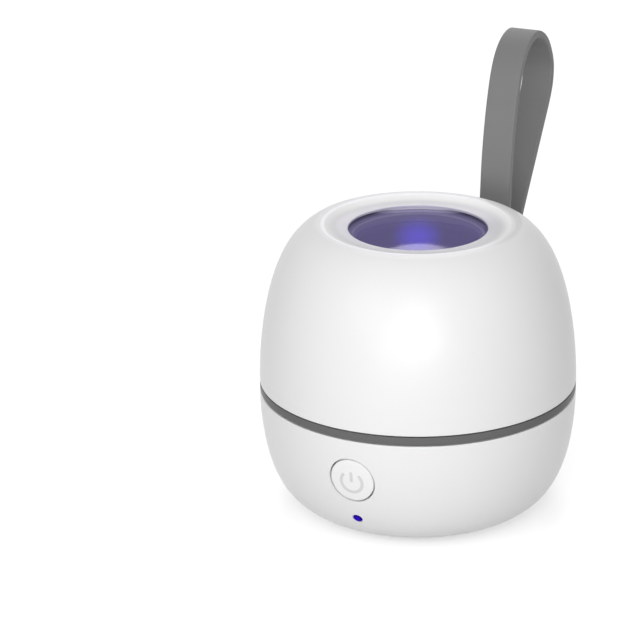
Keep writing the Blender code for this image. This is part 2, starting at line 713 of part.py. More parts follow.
def chamber_hollow():
    """The space inside the chamber dish, with the lens recess and the lamp's well, as a helper."""
    lens_hole = LENS_RADIUS + CLEARANCE
    above = CHAMBER_TOP + OVERRUN
    profile = [(0, above), (CHAMBER_RADIUS - CHAMBER_WALL, above)] + dish_curve(0, 0)
    profile += [
        (lens_hole, CHAMBER_FLOOR_HEIGHT),
        (lens_hole, LEDGE_HEIGHT),
        (WELL_RADIUS, LEDGE_HEIGHT),
        (WELL_RADIUS, WELL_BOTTOM - OVERRUN),
        (0, WELL_BOTTOM - OVERRUN),
    ]
    return turned("chamber_hollow", profile)


def make_chamber():
    """The dark dish that holds the pacifier, with the lamp's well and three screw posts."""
    well_outside = WELL_RADIUS + WELL_WALL
    profile = [(0, CHAMBER_TOP)] + dish_curve(CHAMBER_WALL, CHAMBER_FLOOR_THICKNESS)
    profile += [(well_outside, CHAMBER_UNDERSIDE), (well_outside, WELL_BOTTOM), (0, WELL_BOTTOM)]
    chamber = turned("chamber_bowl", profile)
    post_top = (CHAMBER_FLOOR_HEIGHT + CHAMBER_TOP) / 2
    posts = []
    hollows = [chamber_hollow()]
    for x, y in screw_places():
        posts.append(disc("post", POST_RADIUS, ON_BOARD, post_top))
        hollows.append(disc("post_hole", SCREW_HOLE_RADIUS, BOARD_HEIGHT, SCREW_TOP + BLIND_SPACE))
        for tool in (posts[-1], hollows[-1]):
            tool.location = (x, y, 0)
    shape_with(chamber, "UNION", posts)
    shape_with(chamber, "DIFFERENCE", hollows)
    finish(chamber, (0.05, 0.04, 0.1), 0.3)


def make_lamp():
    """Lens, seal, lamp board, its lamps and its connector."""
    lens = disc("lamp_lens", LENS_RADIUS, LENS_BOTTOM, CHAMBER_FLOOR_HEIGHT, MEDIUM_STEPS)
    finish(lens, (0.75, 0.72, 0.9), 0.05, alpha=0.4)
    seal_inside = LENS_RADIUS - SEAL_WIDTH
    seal_top = SEAL_BOTTOM + SEAL_THICKNESS
    seal = washer("lens_seal", seal_inside, LENS_RADIUS, SEAL_BOTTOM, seal_top, MEDIUM_STEPS)
    finish(seal, (0.08, 0.08, 0.08), 0.8)
    board_top = WELL_BOTTOM + LAMP_BOARD_THICKNESS
    board = disc("lamp_board", WELL_RADIUS - CLEARANCE, WELL_BOTTOM, board_top, MEDIUM_STEPS)
    finish(board, (0.85, 0.85, 0.82), 0.5)
    reach = LAMP_SPACING / sqrt(2)
    for order in range(LAMP_COUNT):
        angle = 2 * pi * (order + 0.5) / LAMP_COUNT
        corner = (
            reach * cos(angle) - LAMP_SIZE / 2,
            reach * sin(angle) - LAMP_SIZE / 2,
            LAMP_HEIGHT,
        )
        lamp = block(f"uv_led_{order + 1}", (LAMP_SIZE, LAMP_SIZE, LAMP_THICKNESS), corner)
        finish(lamp, (0.75, 0.7, 0.4), 0.3)
    connector_corner = (-LAMP_CONNECTOR[0] / 2, -LAMP_CONNECTOR[1] / 2, ON_BOARD)
    connector = block("lamp_connector", LAMP_CONNECTOR, connector_corner)
    finish(connector, (0.9, 0.88, 0.8), 0.5)


def make_main_board():
    """Round board on the bosses with its chips."""
    holes = [circle(SCREW_HOLE_RADIUS, place) for place in screw_places()]
    outline = circle(BOARD_RADIUS, steps=ROUND_STEPS)
    board = extruded("main_board", [outline] + holes, BOARD_HEIGHT, BOARD_TOP)
    finish(board, (0.02, 0.16, 0.07), 0.4)
    chips = (
        ("control_chip", CONTROL_CHIP, CONTROL_CHIP_PLACE_SHARES),
        ("charge_chip", CHARGE_CHIP, CHARGE_CHIP_PLACE_SHARES),
    )
    for name, size, shares in chips:
        x, y = (share * BOARD_RADIUS for share in shares)
        corner = (x - size[0] / 2, y - size[1] / 2, ON_BOARD)
        finish(block(name, size, corner), (0.03, 0.03, 0.03), 0.4)


def make_battery():
    """The cell under the main board, and the two leads from its front up to the board."""
    low = FLOOR_HEIGHT + CLEARANCE
    cell = block("battery_cell", CELL, (-CELL[0] / 2, CELL_BACK - CELL[1] / 2, low))
    rounding = cell.modifiers.new("rounded_edges", "BEVEL")
    rounding.width = CELL_EDGE_RADIUS
    rounding.segments = 2
    finish(cell, (0.6, 0.6, 0.63), 0.35, 0.7)
    start = (CELL_BACK - CELL[1] / 2 - CLEARANCE, low + CELL[2] / 2)
    end = (start[0] - LEAD_REACH, BOARD_HEIGHT - CLEARANCE)
    route = [start] + bend(start, (end[0], start[1]), end, LEAD_STEPS)
    leads = (("battery_lead_red", -1, (0.5, 0.02, 0.02)), ("battery_lead_black", 1, (0.02, 0.02, 0.02)))
    for name, side, colour in leads:
        curve = bpy.data.curves.new(name, "CURVE")
        curve.dimensions = "3D"
        curve.bevel_depth = LEAD_RADIUS
        curve.bevel_resolution = 2
        curve.use_fill_caps = True
        spline = curve.splines.new("POLY")
        spline.points.add(len(route) - 1)
        for point, (back, up) in zip(spline.points, route):
            point.co = (side * LEAD_SPACING / 2, back, up, 1)
        lead = bpy.data.objects.new(name, curve)
        bpy.context.scene.collection.objects.link(lead)
        finish(lead, colour, 0.5)


def make_socket():
    """The charging socket: a metal shell with a tongue on its back wall."""
    mouth, middle = socket_place()
    width, depth, height = SOCKET_SIZE
    outer = stadium(width, height)
    shell = extruded("charging_socket", [outer], -mouth, depth - mouth)
    hollow = stadium(width - 2 * SOCKET_WALL, height - 2 * SOCKET_WALL)
    cavity = extruded("socket_hollow", [hollow], -mouth - OVERRUN, depth - mouth - SOCKET_BACK)
    for piece in (shell, cavity):
        piece.location.z = middle
        piece.rotation_euler.x = pi / 2
    shape_with(shell, "DIFFERENCE", [cavity])
    size = (TONGUE_SIZE[0], TONGUE_SIZE[1] + SOCKET_BACK / 2, TONGUE_SIZE[2])
    corner = (-size[0] / 2, mouth - depth + SOCKET_BACK / 2, middle - size[2] / 2)
    shape_with(shell, "UNION", [block("socket_tongue", size, corner)])
    finish(shell, (0.7, 0.7, 0.72), 0.25, 1.0)


def make_button(pivot):
    """The button, and the switch on its upright board behind it."""
    hole_radius = BUTTON_RADIUS + BUTTON_GAP
    flange_radius = hole_radius + BUTTON_FLANGE
    sag = flange_radius**2 / (2 * (BODY_RADIUS - BASE_WALL))
    flange_top = -(BASE_WALL + sag + CLEARANCE)
    flange_bottom = flange_top - BUTTON_FLANGE_THICKNESS
    stem_end = flange_bottom - STEM_LENGTH
    profile = (
        (0, stem_end),
        (STEM_RADIUS, stem_end),
        (STEM_RADIUS, flange_bottom),
        (flange_radius, flange_bottom),
        (flange_radius, flange_top),
        (BUTTON_RADIUS, flange_top),
        (BUTTON_RADIUS, OVERRUN),
        (0, OVERRUN),
    )
    button = turned("power_button", profile, MEDIUM_STEPS)
    button.parent = pivot
    shape_with(button, "INTERSECT", [bowl_core()])
    finish(button, (0.9, 0.9, 0.9), 0.25)

    plunger_top = stem_end - FINE_CLEARANCE
    plunger_end = plunger_top - PLUNGER_LENGTH
    plunger = disc("switch_plunger", PLUNGER_RADIUS, plunger_end, plunger_top)
    finish(plunger, (0.1, 0.1, 0.1), 0.5)

    body_top = stem_end - BUTTON_TRAVEL - FINE_CLEARANCE
    well_bottom = plunger_end - BUTTON_TRAVEL - FINE_CLEARANCE
    body_bottom = min(body_top - SWITCH_THICKNESS, well_bottom - SWITCH_FLOOR)
    body_size = (SWITCH_SIZE, SWITCH_SIZE, body_top - body_bottom)
    body = block("switch_body", body_size, (-SWITCH_SIZE / 2, -SWITCH_SIZE / 2, body_bottom))
    well = disc("switch_well", PLUNGER_RADIUS + CLEARANCE, well_bottom, body_top + OVERRUN)
    shape_with(body, "DIFFERENCE", [well])
    finish(body, (0.65, 0.65, 0.66), 0.35, 0.8)

    board_top = body_bottom - FINE_CLEARANCE
    _, dip = bowl_face(BUTTON_HEIGHT)
    low_edge = (ON_BOARD - BUTTON_HEIGHT + board_top * sin(dip)) / cos(dip)
    high_edge = SWITCH_SIZE / 2 + CLEARANCE
    size = (SWITCH_BOARD_WIDTH, high_edge - low_edge, SWITCH_BOARD_THICKNESS)
    board = block("switch_board", size, (-size[0] / 2, low_edge, board_top - SWITCH_BOARD_THICKNESS))
    finish(board, (0.02, 0.16, 0.07), 0.4)
    sensor_left = SENSOR_SIDE - SENSOR_SIZE[0] / 2
    sensor_low = high_edge - CLEARANCE - SENSOR_SIZE[1]
    sensor = block("lid_sensor", SENSOR_SIZE, (sensor_left, sensor_low, board_top + FINE_CLEARANCE))
    finish(sensor, (0.03, 0.03, 0.03), 0.4)
    for piece in (plunger, body, board, sensor):
        piece.parent = pivot


def make_indicator(pivot):
    """The indicator's lens in the shell and the light behind it."""
    lens = disc("indicator_lens", INDICATOR_RADIUS, -INDICATOR_LENS_LENGTH, OVERRUN)
    lens.parent = pivot
    shape_with(lens, "INTERSECT", [bowl_core()])
    finish(lens, (0.03, 0.01, 0.5), 0.2)
    corner = (
        -INDICATOR_CHIP[0] / 2,
        -INDICATOR_CHIP[1] / 2,
        -INDICATOR_LENS_LENGTH - FINE_CLEARANCE - INDICATOR_CHIP[2],
    )
    chip = block("indicator_led", INDICATOR_CHIP, corner)
    finish(chip, (0.8, 0.8, 0.7), 0.4)
    chip.parent = pivot


def smooth_route(points, steps):
    """Points on a smooth curve through all the given ones."""
    route = []
    ends = [points[0]] + list(points) + [points[-1]]
    for before, first, last, after in zip(ends, ends[1:], ends[2:], ends[3:]):
        for step in range(steps):
            t = step / steps
            place = []
            for axis in (0, 1):
                a, b, c, d = before[axis], first[axis], last[axis], after[axis]
                cubic = (d - a + 3 * (b - c)) * t**3
                place.append(b + ((c - a) * t + (2 * a - 5 * b + 4 * c - d) * t**2 + cubic) / 2)
            route.append(tuple(place))
    return route + [points[-1]]


def beside(route, distance):
    """The route moved sideways, to its left when the distance is positive."""
    moved = []
    for order, (back, up) in enumerate(route):
        ahead = route[min(order + 1, len(route) - 1)]
        behind = route[max(order - 1, 0)]
        run = (ahead[0] - behind[0], ahead[1] - behind[1])
        length = hypot(*run)
        moved.append((back - run[1] / length * distance, up + run[0] / length * distance))
    return moved


def make_strap(pivot):
    """The silicone loop and the eye that turns on the hinge pin."""
    points = [(back * STRAP_REACH, up * STRAP_HEIGHT) for back, up in STRAP_ROUTE_SHARES]
    route = smooth_route(points, STRAP_STEPS)
    outside = beside(route, STRAP_THICKNESS / 2)
    inside = beside(route, -STRAP_THICKNESS / 2)
    loop = [point for point in inside if point[1] > STRAP_SPLIT_SHARE * STRAP_HEIGHT]
    outline = outside + arc(KNUCKLE_RADIUS, *STRAP_EYE_ARC)
    half = STRAP_WIDTH / 2
    strap = across(extruded("carry_strap", [outline, loop, circle(PIN_HOLE_RADIUS)], -half, half))
    rounding = strap.modifiers.new("rounded_edges", "BEVEL")
    rounding.width = STRAP_EDGE
    rounding.segments = 1
    rounding.limit_method = "ANGLE"
    rounding.angle_limit = radians(STRAP_EDGE_ANGLE)
    strap.parent = pivot
    finish(strap, (0.2, 0.2, 0.2), 0.6)


def make_pin():
    """The steel hinge pin through the base's knuckles, the lid's and the strap's eye."""
    pin = across(extruded("hinge_pin", [circle(PIN_RADIUS)], -PIN_HALF_LENGTH, PIN_HALF_LENGTH))
    pin.location = LID_PIVOT
    finish(pin, (0.6, 0.6, 0.62), 0.3, 1.0)


def main():
    for old in list(bpy.data.objects):
        bpy.data.objects.remove(old, do_unlink=True)
    lid_axis = pivot_at("lid_axis", LID_PIVOT)
    strap_axis = pivot_at("strap_axis", LID_PIVOT)
    button_axis = front_pivot("button_axis", BUTTON_HEIGHT)
    indicator_axis = front_pivot("indicator_axis", INDICATOR_HEIGHT)
    make_lid(lid_axis)
    make_base_shell(lid_axis, button_axis, indicator_axis)
    make_foot_and_screws()
    make_collar()
    make_chamber()
    make_lamp()
    make_main_board()
    make_battery()
    make_socket()
    make_button(button_axis)
    make_indicator(indicator_axis)
    latch_bottom = BAND_BOTTOM - CLEARANCE - LATCH_MAGNET_HEIGHT
    rim_magnet("latch_magnet", BASE_WALL, LATCH_MAGNET_HEIGHT, latch_bottom)
    make_pin()
    make_strap(strap_axis)
    bpy.context.view_layer.update()


main()
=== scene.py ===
import json
from math import acos, asin, atan2, cos, hypot, pi, radians, sin, sqrt, tan

import bmesh
import bpy
from mathutils import Matrix, Vector


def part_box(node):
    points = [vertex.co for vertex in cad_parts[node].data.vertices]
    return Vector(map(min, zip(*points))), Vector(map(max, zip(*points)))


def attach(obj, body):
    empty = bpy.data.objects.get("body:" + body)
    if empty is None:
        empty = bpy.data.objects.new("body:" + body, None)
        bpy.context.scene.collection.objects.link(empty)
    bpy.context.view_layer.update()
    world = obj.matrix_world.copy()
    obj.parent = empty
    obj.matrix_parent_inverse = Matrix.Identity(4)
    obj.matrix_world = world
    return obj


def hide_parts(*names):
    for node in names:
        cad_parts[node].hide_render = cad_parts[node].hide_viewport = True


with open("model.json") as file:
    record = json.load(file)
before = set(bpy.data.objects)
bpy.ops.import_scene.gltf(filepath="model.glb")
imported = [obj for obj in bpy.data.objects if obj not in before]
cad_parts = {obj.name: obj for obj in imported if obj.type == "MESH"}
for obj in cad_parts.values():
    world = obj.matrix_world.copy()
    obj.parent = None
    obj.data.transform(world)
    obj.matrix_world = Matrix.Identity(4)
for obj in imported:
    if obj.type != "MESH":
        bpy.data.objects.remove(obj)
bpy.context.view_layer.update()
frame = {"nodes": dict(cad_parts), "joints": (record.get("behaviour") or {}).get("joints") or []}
print("packed frame loaded")

# Places in the frame that the pieces below are measured from
joints = {joint["name"]: joint for joint in frame["joints"]}
hinge = Vector(joints["lid_hinge"]["pos_m"])
seam = hinge.z
case = {
    "radius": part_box("collar_ring")[1].x,
    "bowlTop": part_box("chamber_bowl")[1].z,
    "bowlFoot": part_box("base_shell")[0].z,
    "gap": 0.0003,
    "fineGap": 0.0002,
    "roundSteps": 160,
}


# Node and mesh helpers

def addNode(tree, kind, feeds=None, **settings):
    made = tree.nodes.new(kind)
    for name, value in settings.items():
        setattr(made, name, value)
    for key, value in (feeds or {}).items():
        if isinstance(value, bpy.types.NodeSocket):
            tree.links.new(value, made.inputs[key])
        else:
            made.inputs[key].default_value = value
    return made


def mathNode(tree, operation, first, second=0.0):
    return addNode(tree, "ShaderNodeMath", {0: first, 1: second}, operation=operation).outputs[0]


def between(tree, value, low, high):
    # a share that rises from 0 to 1 as the value goes from low to high
    feeds = {"Value": value, "From Min": low, "From Max": high}
    return addNode(tree, "ShaderNodeMapRange", feeds, interpolation_type="SMOOTHSTEP").outputs[0]


def colourMix(tree, share, first, second):
    mix = addNode(tree, "ShaderNodeMixRGB", {0: share})
    for index, colour in ((1, first), (2, second)):
        if isinstance(colour, bpy.types.NodeSocket):
            tree.links.new(colour, mix.inputs[index])
        else:
            mix.inputs[index].default_value = (*colour, 1)
    return mix.outputs[0]


def rampOf(tree, value, span, stops):
    # colours at given values, from 0 to the span
    ramp = addNode(tree, "ShaderNodeValToRGB", {0: mathNode(tree, "DIVIDE", value, span)})
    for order, (place, colour) in enumerate(stops):
        stop = ramp.color_ramp.elements[order] if order < 2 else ramp.color_ramp.elements.new(1)
        stop.position = place / span
        stop.color = (*colour, 1)
    return ramp.outputs[0]


def newTree(name, inputs):
    tree = bpy.data.node_groups.new(name, "GeometryNodeTree")
    for label, kind in inputs:
        tree.interface.new_socket(label, in_out="INPUT", socket_type="NodeSocket" + kind)
    tree.interface.new_socket("Geometry", in_out="OUTPUT", socket_type="NodeSocketGeometry")
    return tree, addNode(tree, "NodeGroupInput").outputs


def endTree(tree, geometry, finish):
    real = addNode(tree, "GeometryNodeRealizeInstances", {"Geometry": geometry})
    painted = addNode(tree, "GeometryNodeSetMaterial", {"Geometry": real.outputs[0], "Material": finish})
    addNode(tree, "NodeGroupOutput", {0: painted.outputs[0]})


def meshFrom(name, bm):
    mesh = bpy.data.meshes.new(name)
    bm.to_mesh(mesh)
    bm.free()
    return mesh


def link(name, mesh):
    made = bpy.data.objects.new(name, mesh)
    bpy.context.scene.collection.objects.link(made)
    return made


def plainMesh(source):
    graph = bpy.context.evaluated_depsgraph_get()
    return bpy.data.meshes.new_from_object(source.evaluated_get(graph), depsgraph=graph)


def tidyMesh(mesh, sharp=35):
    bm = bmesh.new()
    bm.from_mesh(mesh)
    bmesh.ops.remove_doubles(bm, verts=bm.verts, dist=1e-7)
    bmesh.ops.recalc_face_normals(bm, faces=bm.faces)
    bm.to_mesh(mesh)
    bm.free()
    mesh.shade_smooth()
    mesh.set_sharp_from_angle(angle=radians(sharp))
    return mesh


def runTree(name, mesh, tree, values):
    source = link(name + "Source", mesh)
    modifier = source.modifiers.new("form", "NODES")
    modifier.node_group = tree
    for item in tree.interface.items_tree:
        if item.name in values:
            modifier[item.identifier] = values[item.name]
    made = link(name, tidyMesh(plainMesh(source)))
    source.modifiers.remove(modifier)
    bpy.data.objects.remove(source)
    return made


def carve(piece, operation, tools):
    # the tools become one helper, so the piece is cut or joined in a single step
    bm = bmesh.new()
    for tool in tools:
        bm.from_mesh(tool.data)
        bpy.data.objects.remove(tool)
    helper = link("helper", tidyMesh(meshFrom("helper", bm)))
    modifier = piece.modifiers.new("carve", "BOOLEAN")
    modifier.operation = operation
    modifier.solver = "EXACT"
    modifier.object = helper
    carved = plainMesh(piece)
    piece.modifiers.remove(modifier)
    bpy.data.objects.remove(helper)
    piece.data = tidyMesh(carved)
    return piece


def soften(piece, width, segments=2, angle=40):
    modifier = piece.modifiers.new("soften", "BEVEL")
    modifier.width = width
    modifier.segments = segments
    modifier.limit_method = "ANGLE"
    modifier.angle_limit = radians(angle)
    modifier.harden_normals = True
    modifier.use_clamp_overlap = True
    piece.data = plainMesh(piece)
    piece.modifiers.remove(modifier)
    return piece


def paint(piece, material):
    piece.data.materials.clear()
    piece.data.materials.append(material)
    return piece


def moved(piece, matrix):
    piece.data.transform(matrix)
    return piece


def turnTree():
    # spins the profile's points (radius, 0, height) about Z
    inputs = (("Profile", "Geometry"), ("Steps", "Int"), ("Weld", "Float"), ("Finish", "Material"))
    tree, given = newTree("turned form", inputs)
    count = addNode(tree, "GeometryNodeAttributeDomainSize", {0: given["Profile"]}).outputs["Point Count"]
    rows = mathNode(tree, "ADD", given["Steps"], 1)
    grid = addNode(tree, "GeometryNodeMeshGrid", {"Vertices X": count, "Vertices Y": rows})
    index = addNode(tree, "GeometryNodeInputIndex").outputs[0]
    point = mathNode(tree, "FLOOR", mathNode(tree, "DIVIDE", mathNode(tree, "ADD", index, 0.5), rows))
    step = mathNode(tree, "SUBTRACT", index, mathNode(tree, "MULTIPLY", point, rows))
    angle = mathNode(tree, "MULTIPLY", mathNode(tree, "DIVIDE", step, given["Steps"]), 2 * pi)
    position = addNode(tree, "GeometryNodeInputPosition").outputs[0]
    sample = addNode(tree, "GeometryNodeSampleIndex", data_type="FLOAT_VECTOR", domain="POINT")
    tree.links.new(given["Profile"], sample.inputs[0])
    tree.links.new(position, sample.inputs["Value"])
    tree.links.new(point, sample.inputs["Index"])
    place = addNode(tree, "ShaderNodeSeparateXYZ", {0: sample.outputs[0]}).outputs
    out = mathNode(tree, "MULTIPLY", place[0], mathNode(tree, "COSINE", angle))
    side = mathNode(tree, "MULTIPLY", place[0], mathNode(tree, "SINE", angle))
    spot = addNode(tree, "ShaderNodeCombineXYZ", {0: out, 1: side, 2: place[2]})
    spun = addNode(tree, "GeometryNodeSetPosition", {"Geometry": grid.outputs[0], "Position": spot.outputs[0]})
    welded = addNode(tree, "GeometryNodeMergeByDistance", {"Geometry": spun.outputs[0], "Distance": given["Weld"]})
    endTree(tree, welded.outputs[0], given["Finish"])
    return tree


def scatterTree():
    # puts a copy of one small shape on every point
    inputs = (("Points", "Geometry"), ("Shape", "Object"), ("Size", "Float"), ("Finish", "Material"))
    tree, given = newTree("copies on points", inputs)
    shape = addNode(tree, "GeometryNodeObjectInfo", {"Object": given["Shape"]}).outputs["Geometry"]
    feeds = {"Points": given["Points"], "Instance": shape, "Scale": given["Size"]}
    copies = addNode(tree, "GeometryNodeInstanceOnPoints", feeds)
    endTree(tree, copies.outputs[0], given["Finish"])
    return tree


turnForm = turnTree()
scatterForm = scatterTree()


def turned(name, profile, material, steps=None):
    # a closed outline of (radius, height) points becomes a solid of revolution
    corners = [Vector((point[0], 0, point[1])) for point in profile]
    mesh = bpy.data.meshes.new(name + "Profile")
    mesh.from_pydata(corners + corners[:1], [], [])
    values = {"Steps": steps or case["roundSteps"], "Weld": 1e-6, "Finish": material}
    return runTree(name, mesh, turnForm, values)


def scattered(name, points, shape, material, size=1.0):
    mesh = bpy.data.meshes.new(name + "Points")
    mesh.from_pydata(points, [], [])
    made = runTree(name, mesh, scatterForm, {"Shape": shape, "Size": size, "Finish": material})
    bpy.data.objects.remove(shape)
    return made


def extruded(name, loops, start, end):
    # flat outlines in X and Y, the first one outside and the others holes
    bm = bmesh.new()
    edges = []
    for loop in loops:
        verts = [bm.verts.new((x, y, start)) for x, y in loop]
        edges += [bm.edges.new(pair) for pair in zip(verts, verts[1:] + verts[:1])]
    bmesh.ops.triangle_fill(bm, use_beauty=True, edges=edges)
    made = bmesh.ops.extrude_face_region(bm, geom=bm.faces[:])
    lifted = [part for part in made["geom"] if isinstance(part, bmesh.types.BMVert)]
    bmesh.ops.translate(bm, verts=lifted, vec=(0, 0, end - start))
    return link(name, tidyMesh(meshFrom(name, bm)))


# Outline helpers

def superellipse(radius, height, powers, start, end, steps):
    points = []
    for step in range(steps + 1):
        angle = start + (end - start) * step / steps
        points.append((radius * cos(angle) ** (2 / powers[0]), height * sin(angle) ** (2 / powers[1])))
    return points


def steepness(point, radius, height, powers):
    outPart = powers[0] / radius * (point[0] / radius) ** (powers[0] - 1)
    upPart = powers[1] / height * (point[1] / height) ** (powers[1] - 1)
    return outPart / upPart


def bend(first, corner, last, steps=8):
    points = []
    for step in range(1, steps + 1):
        t = step / steps
        point = Vector(first) * (1 - t) ** 2 + Vector(corner) * 2 * t * (1 - t) + Vector(last) * t * t
        points.append(tuple(point))
    return points


def rounded(corners, steps=4):
    # corners are (radius, height, rounding), as a closed outline
    points = []
    for order, corner in enumerate(corners):
        here = Vector(corner[:2])
        rounding = corner[2] if len(corner) > 2 else 0
        if not rounding:
            points.append(tuple(here))
            continue
        before = Vector(corners[order - 1][:2]) - here
        after = Vector(corners[(order + 1) % len(corners)][:2]) - here
        reach = min(rounding, before.length / 2, after.length / 2)
        first = here + before.normalized() * reach
        last = here + after.normalized() * reach
        points += [tuple(first)] + bend(first, here, last, steps)
    return points


def arc(radius, start, end, steps, centre=(0, 0)):
    angles = [radians(start + (end - start) * step / steps) for step in range(steps + 1)]
    return [(centre[0] + radius * cos(a), centre[1] + radius * sin(a)) for a in angles]


def circle(radius, steps=48):
    return arc(radius, 0, 360, steps)[:-1]


# Materials

def surface(name, look):
    # tint and gloss wander a little over the piece, and a fine relief breaks up the highlights
    material = bpy.data.materials.new(name)
    material.use_nodes = True
    tree = material.node_tree
    shader = tree.nodes["Principled BSDF"]
    coords = addNode(tree, "ShaderNodeTexCoord").outputs["Object"]
    cloud = addNode(tree, "ShaderNodeTexNoise", {"Vector": coords, "Scale": look.get("cloudScale", 90), "Detail": 3})
    tint = addNode(tree, "ShaderNodeMixRGB", {0: cloud.outputs[0], 1: (*look["shade"], 1), 2: (*look["colour"], 1)})
    grain = addNode(tree, "ShaderNodeTexNoise", {"Vector": coords, "Scale": look.get("grainScale", 1800), "Detail": 2})
    low, high = look["roughness"]
    spread = {"Value": cloud.outputs[0], "From Min": 0.1, "From Max": 0.9, "To Min": low, "To Max": high}
    gloss = addNode(tree, "ShaderNodeMapRange", spread)
    height = {"Height": grain.outputs[0], "Strength": look.get("relief", 0.1), "Distance": 0.00005}
    relief = addNode(tree, "ShaderNodeBump", height)
    tree.links.new(tint.outputs[0], shader.inputs["Base Color"])
    tree.links.new(gloss.outputs[0], shader.inputs["Roughness"])
    tree.links.new(relief.outputs[0], shader.inputs["Normal"])
    for socket, value in look.get("sockets", {}).items():
        shader.inputs[socket].default_value = value
    return material


whiteLook = {
    "colour": (0.85, 0.85, 0.85), "shade": (0.835, 0.835, 0.835), "roughness": (0.28, 0.31),
    "cloudScale": 45, "grainScale": 700, "relief": 0.012, "sockets": {"IOR": 1.48, "Specular IOR Level": 0.4},
}
looks = {
    "lidWhite": whiteLook,
    "buttonWhite": whiteLook | {
        "colour": (0.895, 0.895, 0.895), "shade": (0.88, 0.88, 0.88), "roughness": (0.3, 0.36),
    },
    "markGrey": whiteLook | {"colour": (0.7, 0.7, 0.7), "shade": (0.68, 0.68, 0.685)},
    "collarGrey": {
        "colour": (0.15, 0.15, 0.152), "shade": (0.14, 0.14, 0.142), "roughness": (0.3, 0.38),
        "cloudScale": 240, "grainScale": 1600, "relief": 0.08, "sockets": {"Specular IOR Level": 0.08},
    },
    "strapGrey": {
        "colour": (0.205, 0.205, 0.205), "shade": (0.185, 0.185, 0.186), "roughness": (0.52, 0.62),
        "cloudScale": 120, "grainScale": 4200, "relief": 0.25,
        "sockets": {"IOR": 1.42, "Sheen Weight": 0.12, "Sheen Roughness": 0.4},
    },
    "linerSilver": {
        "colour": (0.6, 0.61, 0.62), "shade": (0.54, 0.55, 0.56), "roughness": (0.3, 0.38),
        "cloudScale": 70, "grainScale": 2400, "relief": 0.06, "sockets": {"Metallic": 0.75},
    },
    "chamberViolet": {
        "colour": (0.04, 0.03, 0.09), "shade": (0.025, 0.02, 0.06), "roughness": (0.2, 0.26),
        "cloudScale": 110, "grainScale": 2600, "relief": 0.08, "sockets": {"Coat Weight": 0.3, "Coat Roughness": 0.08},
    },
    "ringGrey": {
        "colour": (0.8, 0.79, 0.86), "shade": (0.74, 0.73, 0.8), "roughness": (0.35, 0.45), "relief": 0.05,
    },
    "padRubber": {
        "colour": (0.1, 0.1, 0.103), "shade": (0.08, 0.08, 0.082), "roughness": (0.7, 0.82),
        "cloudScale": 300, "grainScale": 5200, "relief": 0.5, "sockets": {"Sheen Weight": 0.1},
    },
    "sealRubber": {"colour": (0.03, 0.03, 0.03), "shade": (0.02, 0.02, 0.02), "roughness": (0.6, 0.75), "relief": 0.3},
    "pinSteel": {
        "colour": (0.58, 0.58, 0.6), "shade": (0.5, 0.5, 0.52), "roughness": (0.28, 0.34),
        "cloudScale": 900, "grainScale": 5200, "relief": 0.1, "sockets": {"Metallic": 1.0},
    },
    "socketSteel": {
        "colour": (0.66, 0.66, 0.68), "shade": (0.55, 0.55, 0.57), "roughness": (0.28, 0.36),
        "cloudScale": 700, "relief": 0.1, "sockets": {"Metallic": 1.0},
    },
    "contactGold": {
        "colour": (0.83, 0.6, 0.25), "shade": (0.75, 0.52, 0.2), "roughness": (0.2, 0.26),
        "sockets": {"Metallic": 1.0},
    },
    "tongueBlack": {"colour": (0.025, 0.025, 0.026), "shade": (0.018, 0.018, 0.018), "roughness": (0.4, 0.5)},
    "boardWhite": {"colour": (0.72, 0.72, 0.68), "shade": (0.66, 0.66, 0.62), "roughness": (0.3, 0.4), "cloudScale": 500},
    "boardGreen": {"colour": (0.015, 0.13, 0.06), "shade": (0.01, 0.09, 0.04), "roughness": (0.3, 0.42), "cloudScale": 420},
    "chipBlack": {
        "colour": (0.03, 0.03, 0.032), "shade": (0.02, 0.02, 0.02), "roughness": (0.45, 0.6),
        "grainScale": 5200, "relief": 0.4,
    },
    "ceramic": {"colour": (0.7, 0.69, 0.64), "shade": (0.62, 0.61, 0.56), "roughness": (0.35, 0.5), "cloudScale": 900},
    "foil": {
        "colour": (0.56, 0.57, 0.59), "shade": (0.46, 0.47, 0.49), "roughness": (0.3, 0.5),
        "cloudScale": 350, "grainScale": 1500, "relief": 0.6, "sockets": {"Metallic": 0.9},
    },
    "wireRed": {"colour": (0.45, 0.02, 0.02), "shade": (0.36, 0.015, 0.015), "roughness": (0.4, 0.5)},
    "wireBlack": {"colour": (0.02, 0.02, 0.02), "shade": (0.014, 0.014, 0.014), "roughness": (0.4, 0.5)},
    "creamPlastic": {"colour": (0.78, 0.74, 0.64), "shade": (0.72, 0.68, 0.58), "roughness": (0.4, 0.5)},
    "plating": {
        "colour": (0.62, 0.62, 0.64), "shade": (0.52, 0.52, 0.54), "roughness": (0.15, 0.25),
        "cloudScale": 800, "relief": 0.08, "sockets": {"Metallic": 1.0},
    },
}
finishes = {name: surface(name, look) for name, look in looks.items()}
print("materials mixed:", len(finishes))


def spotMix(tree, centre, near, far, inside, outside):
    # a colour at a point in the frame that fades to another colour between two distances
    coords = addNode(tree, "ShaderNodeTexCoord").outputs["Object"]
    distance = addNode(tree, "ShaderNodeVectorMath", {0: coords, 1: centre}, operation="DISTANCE").outputs["Value"]
    return colourMix(tree, between(tree, distance, near, far), inside, outside)


# Lid: dome with a shallow dish, hinge arms, and the window with what holds it

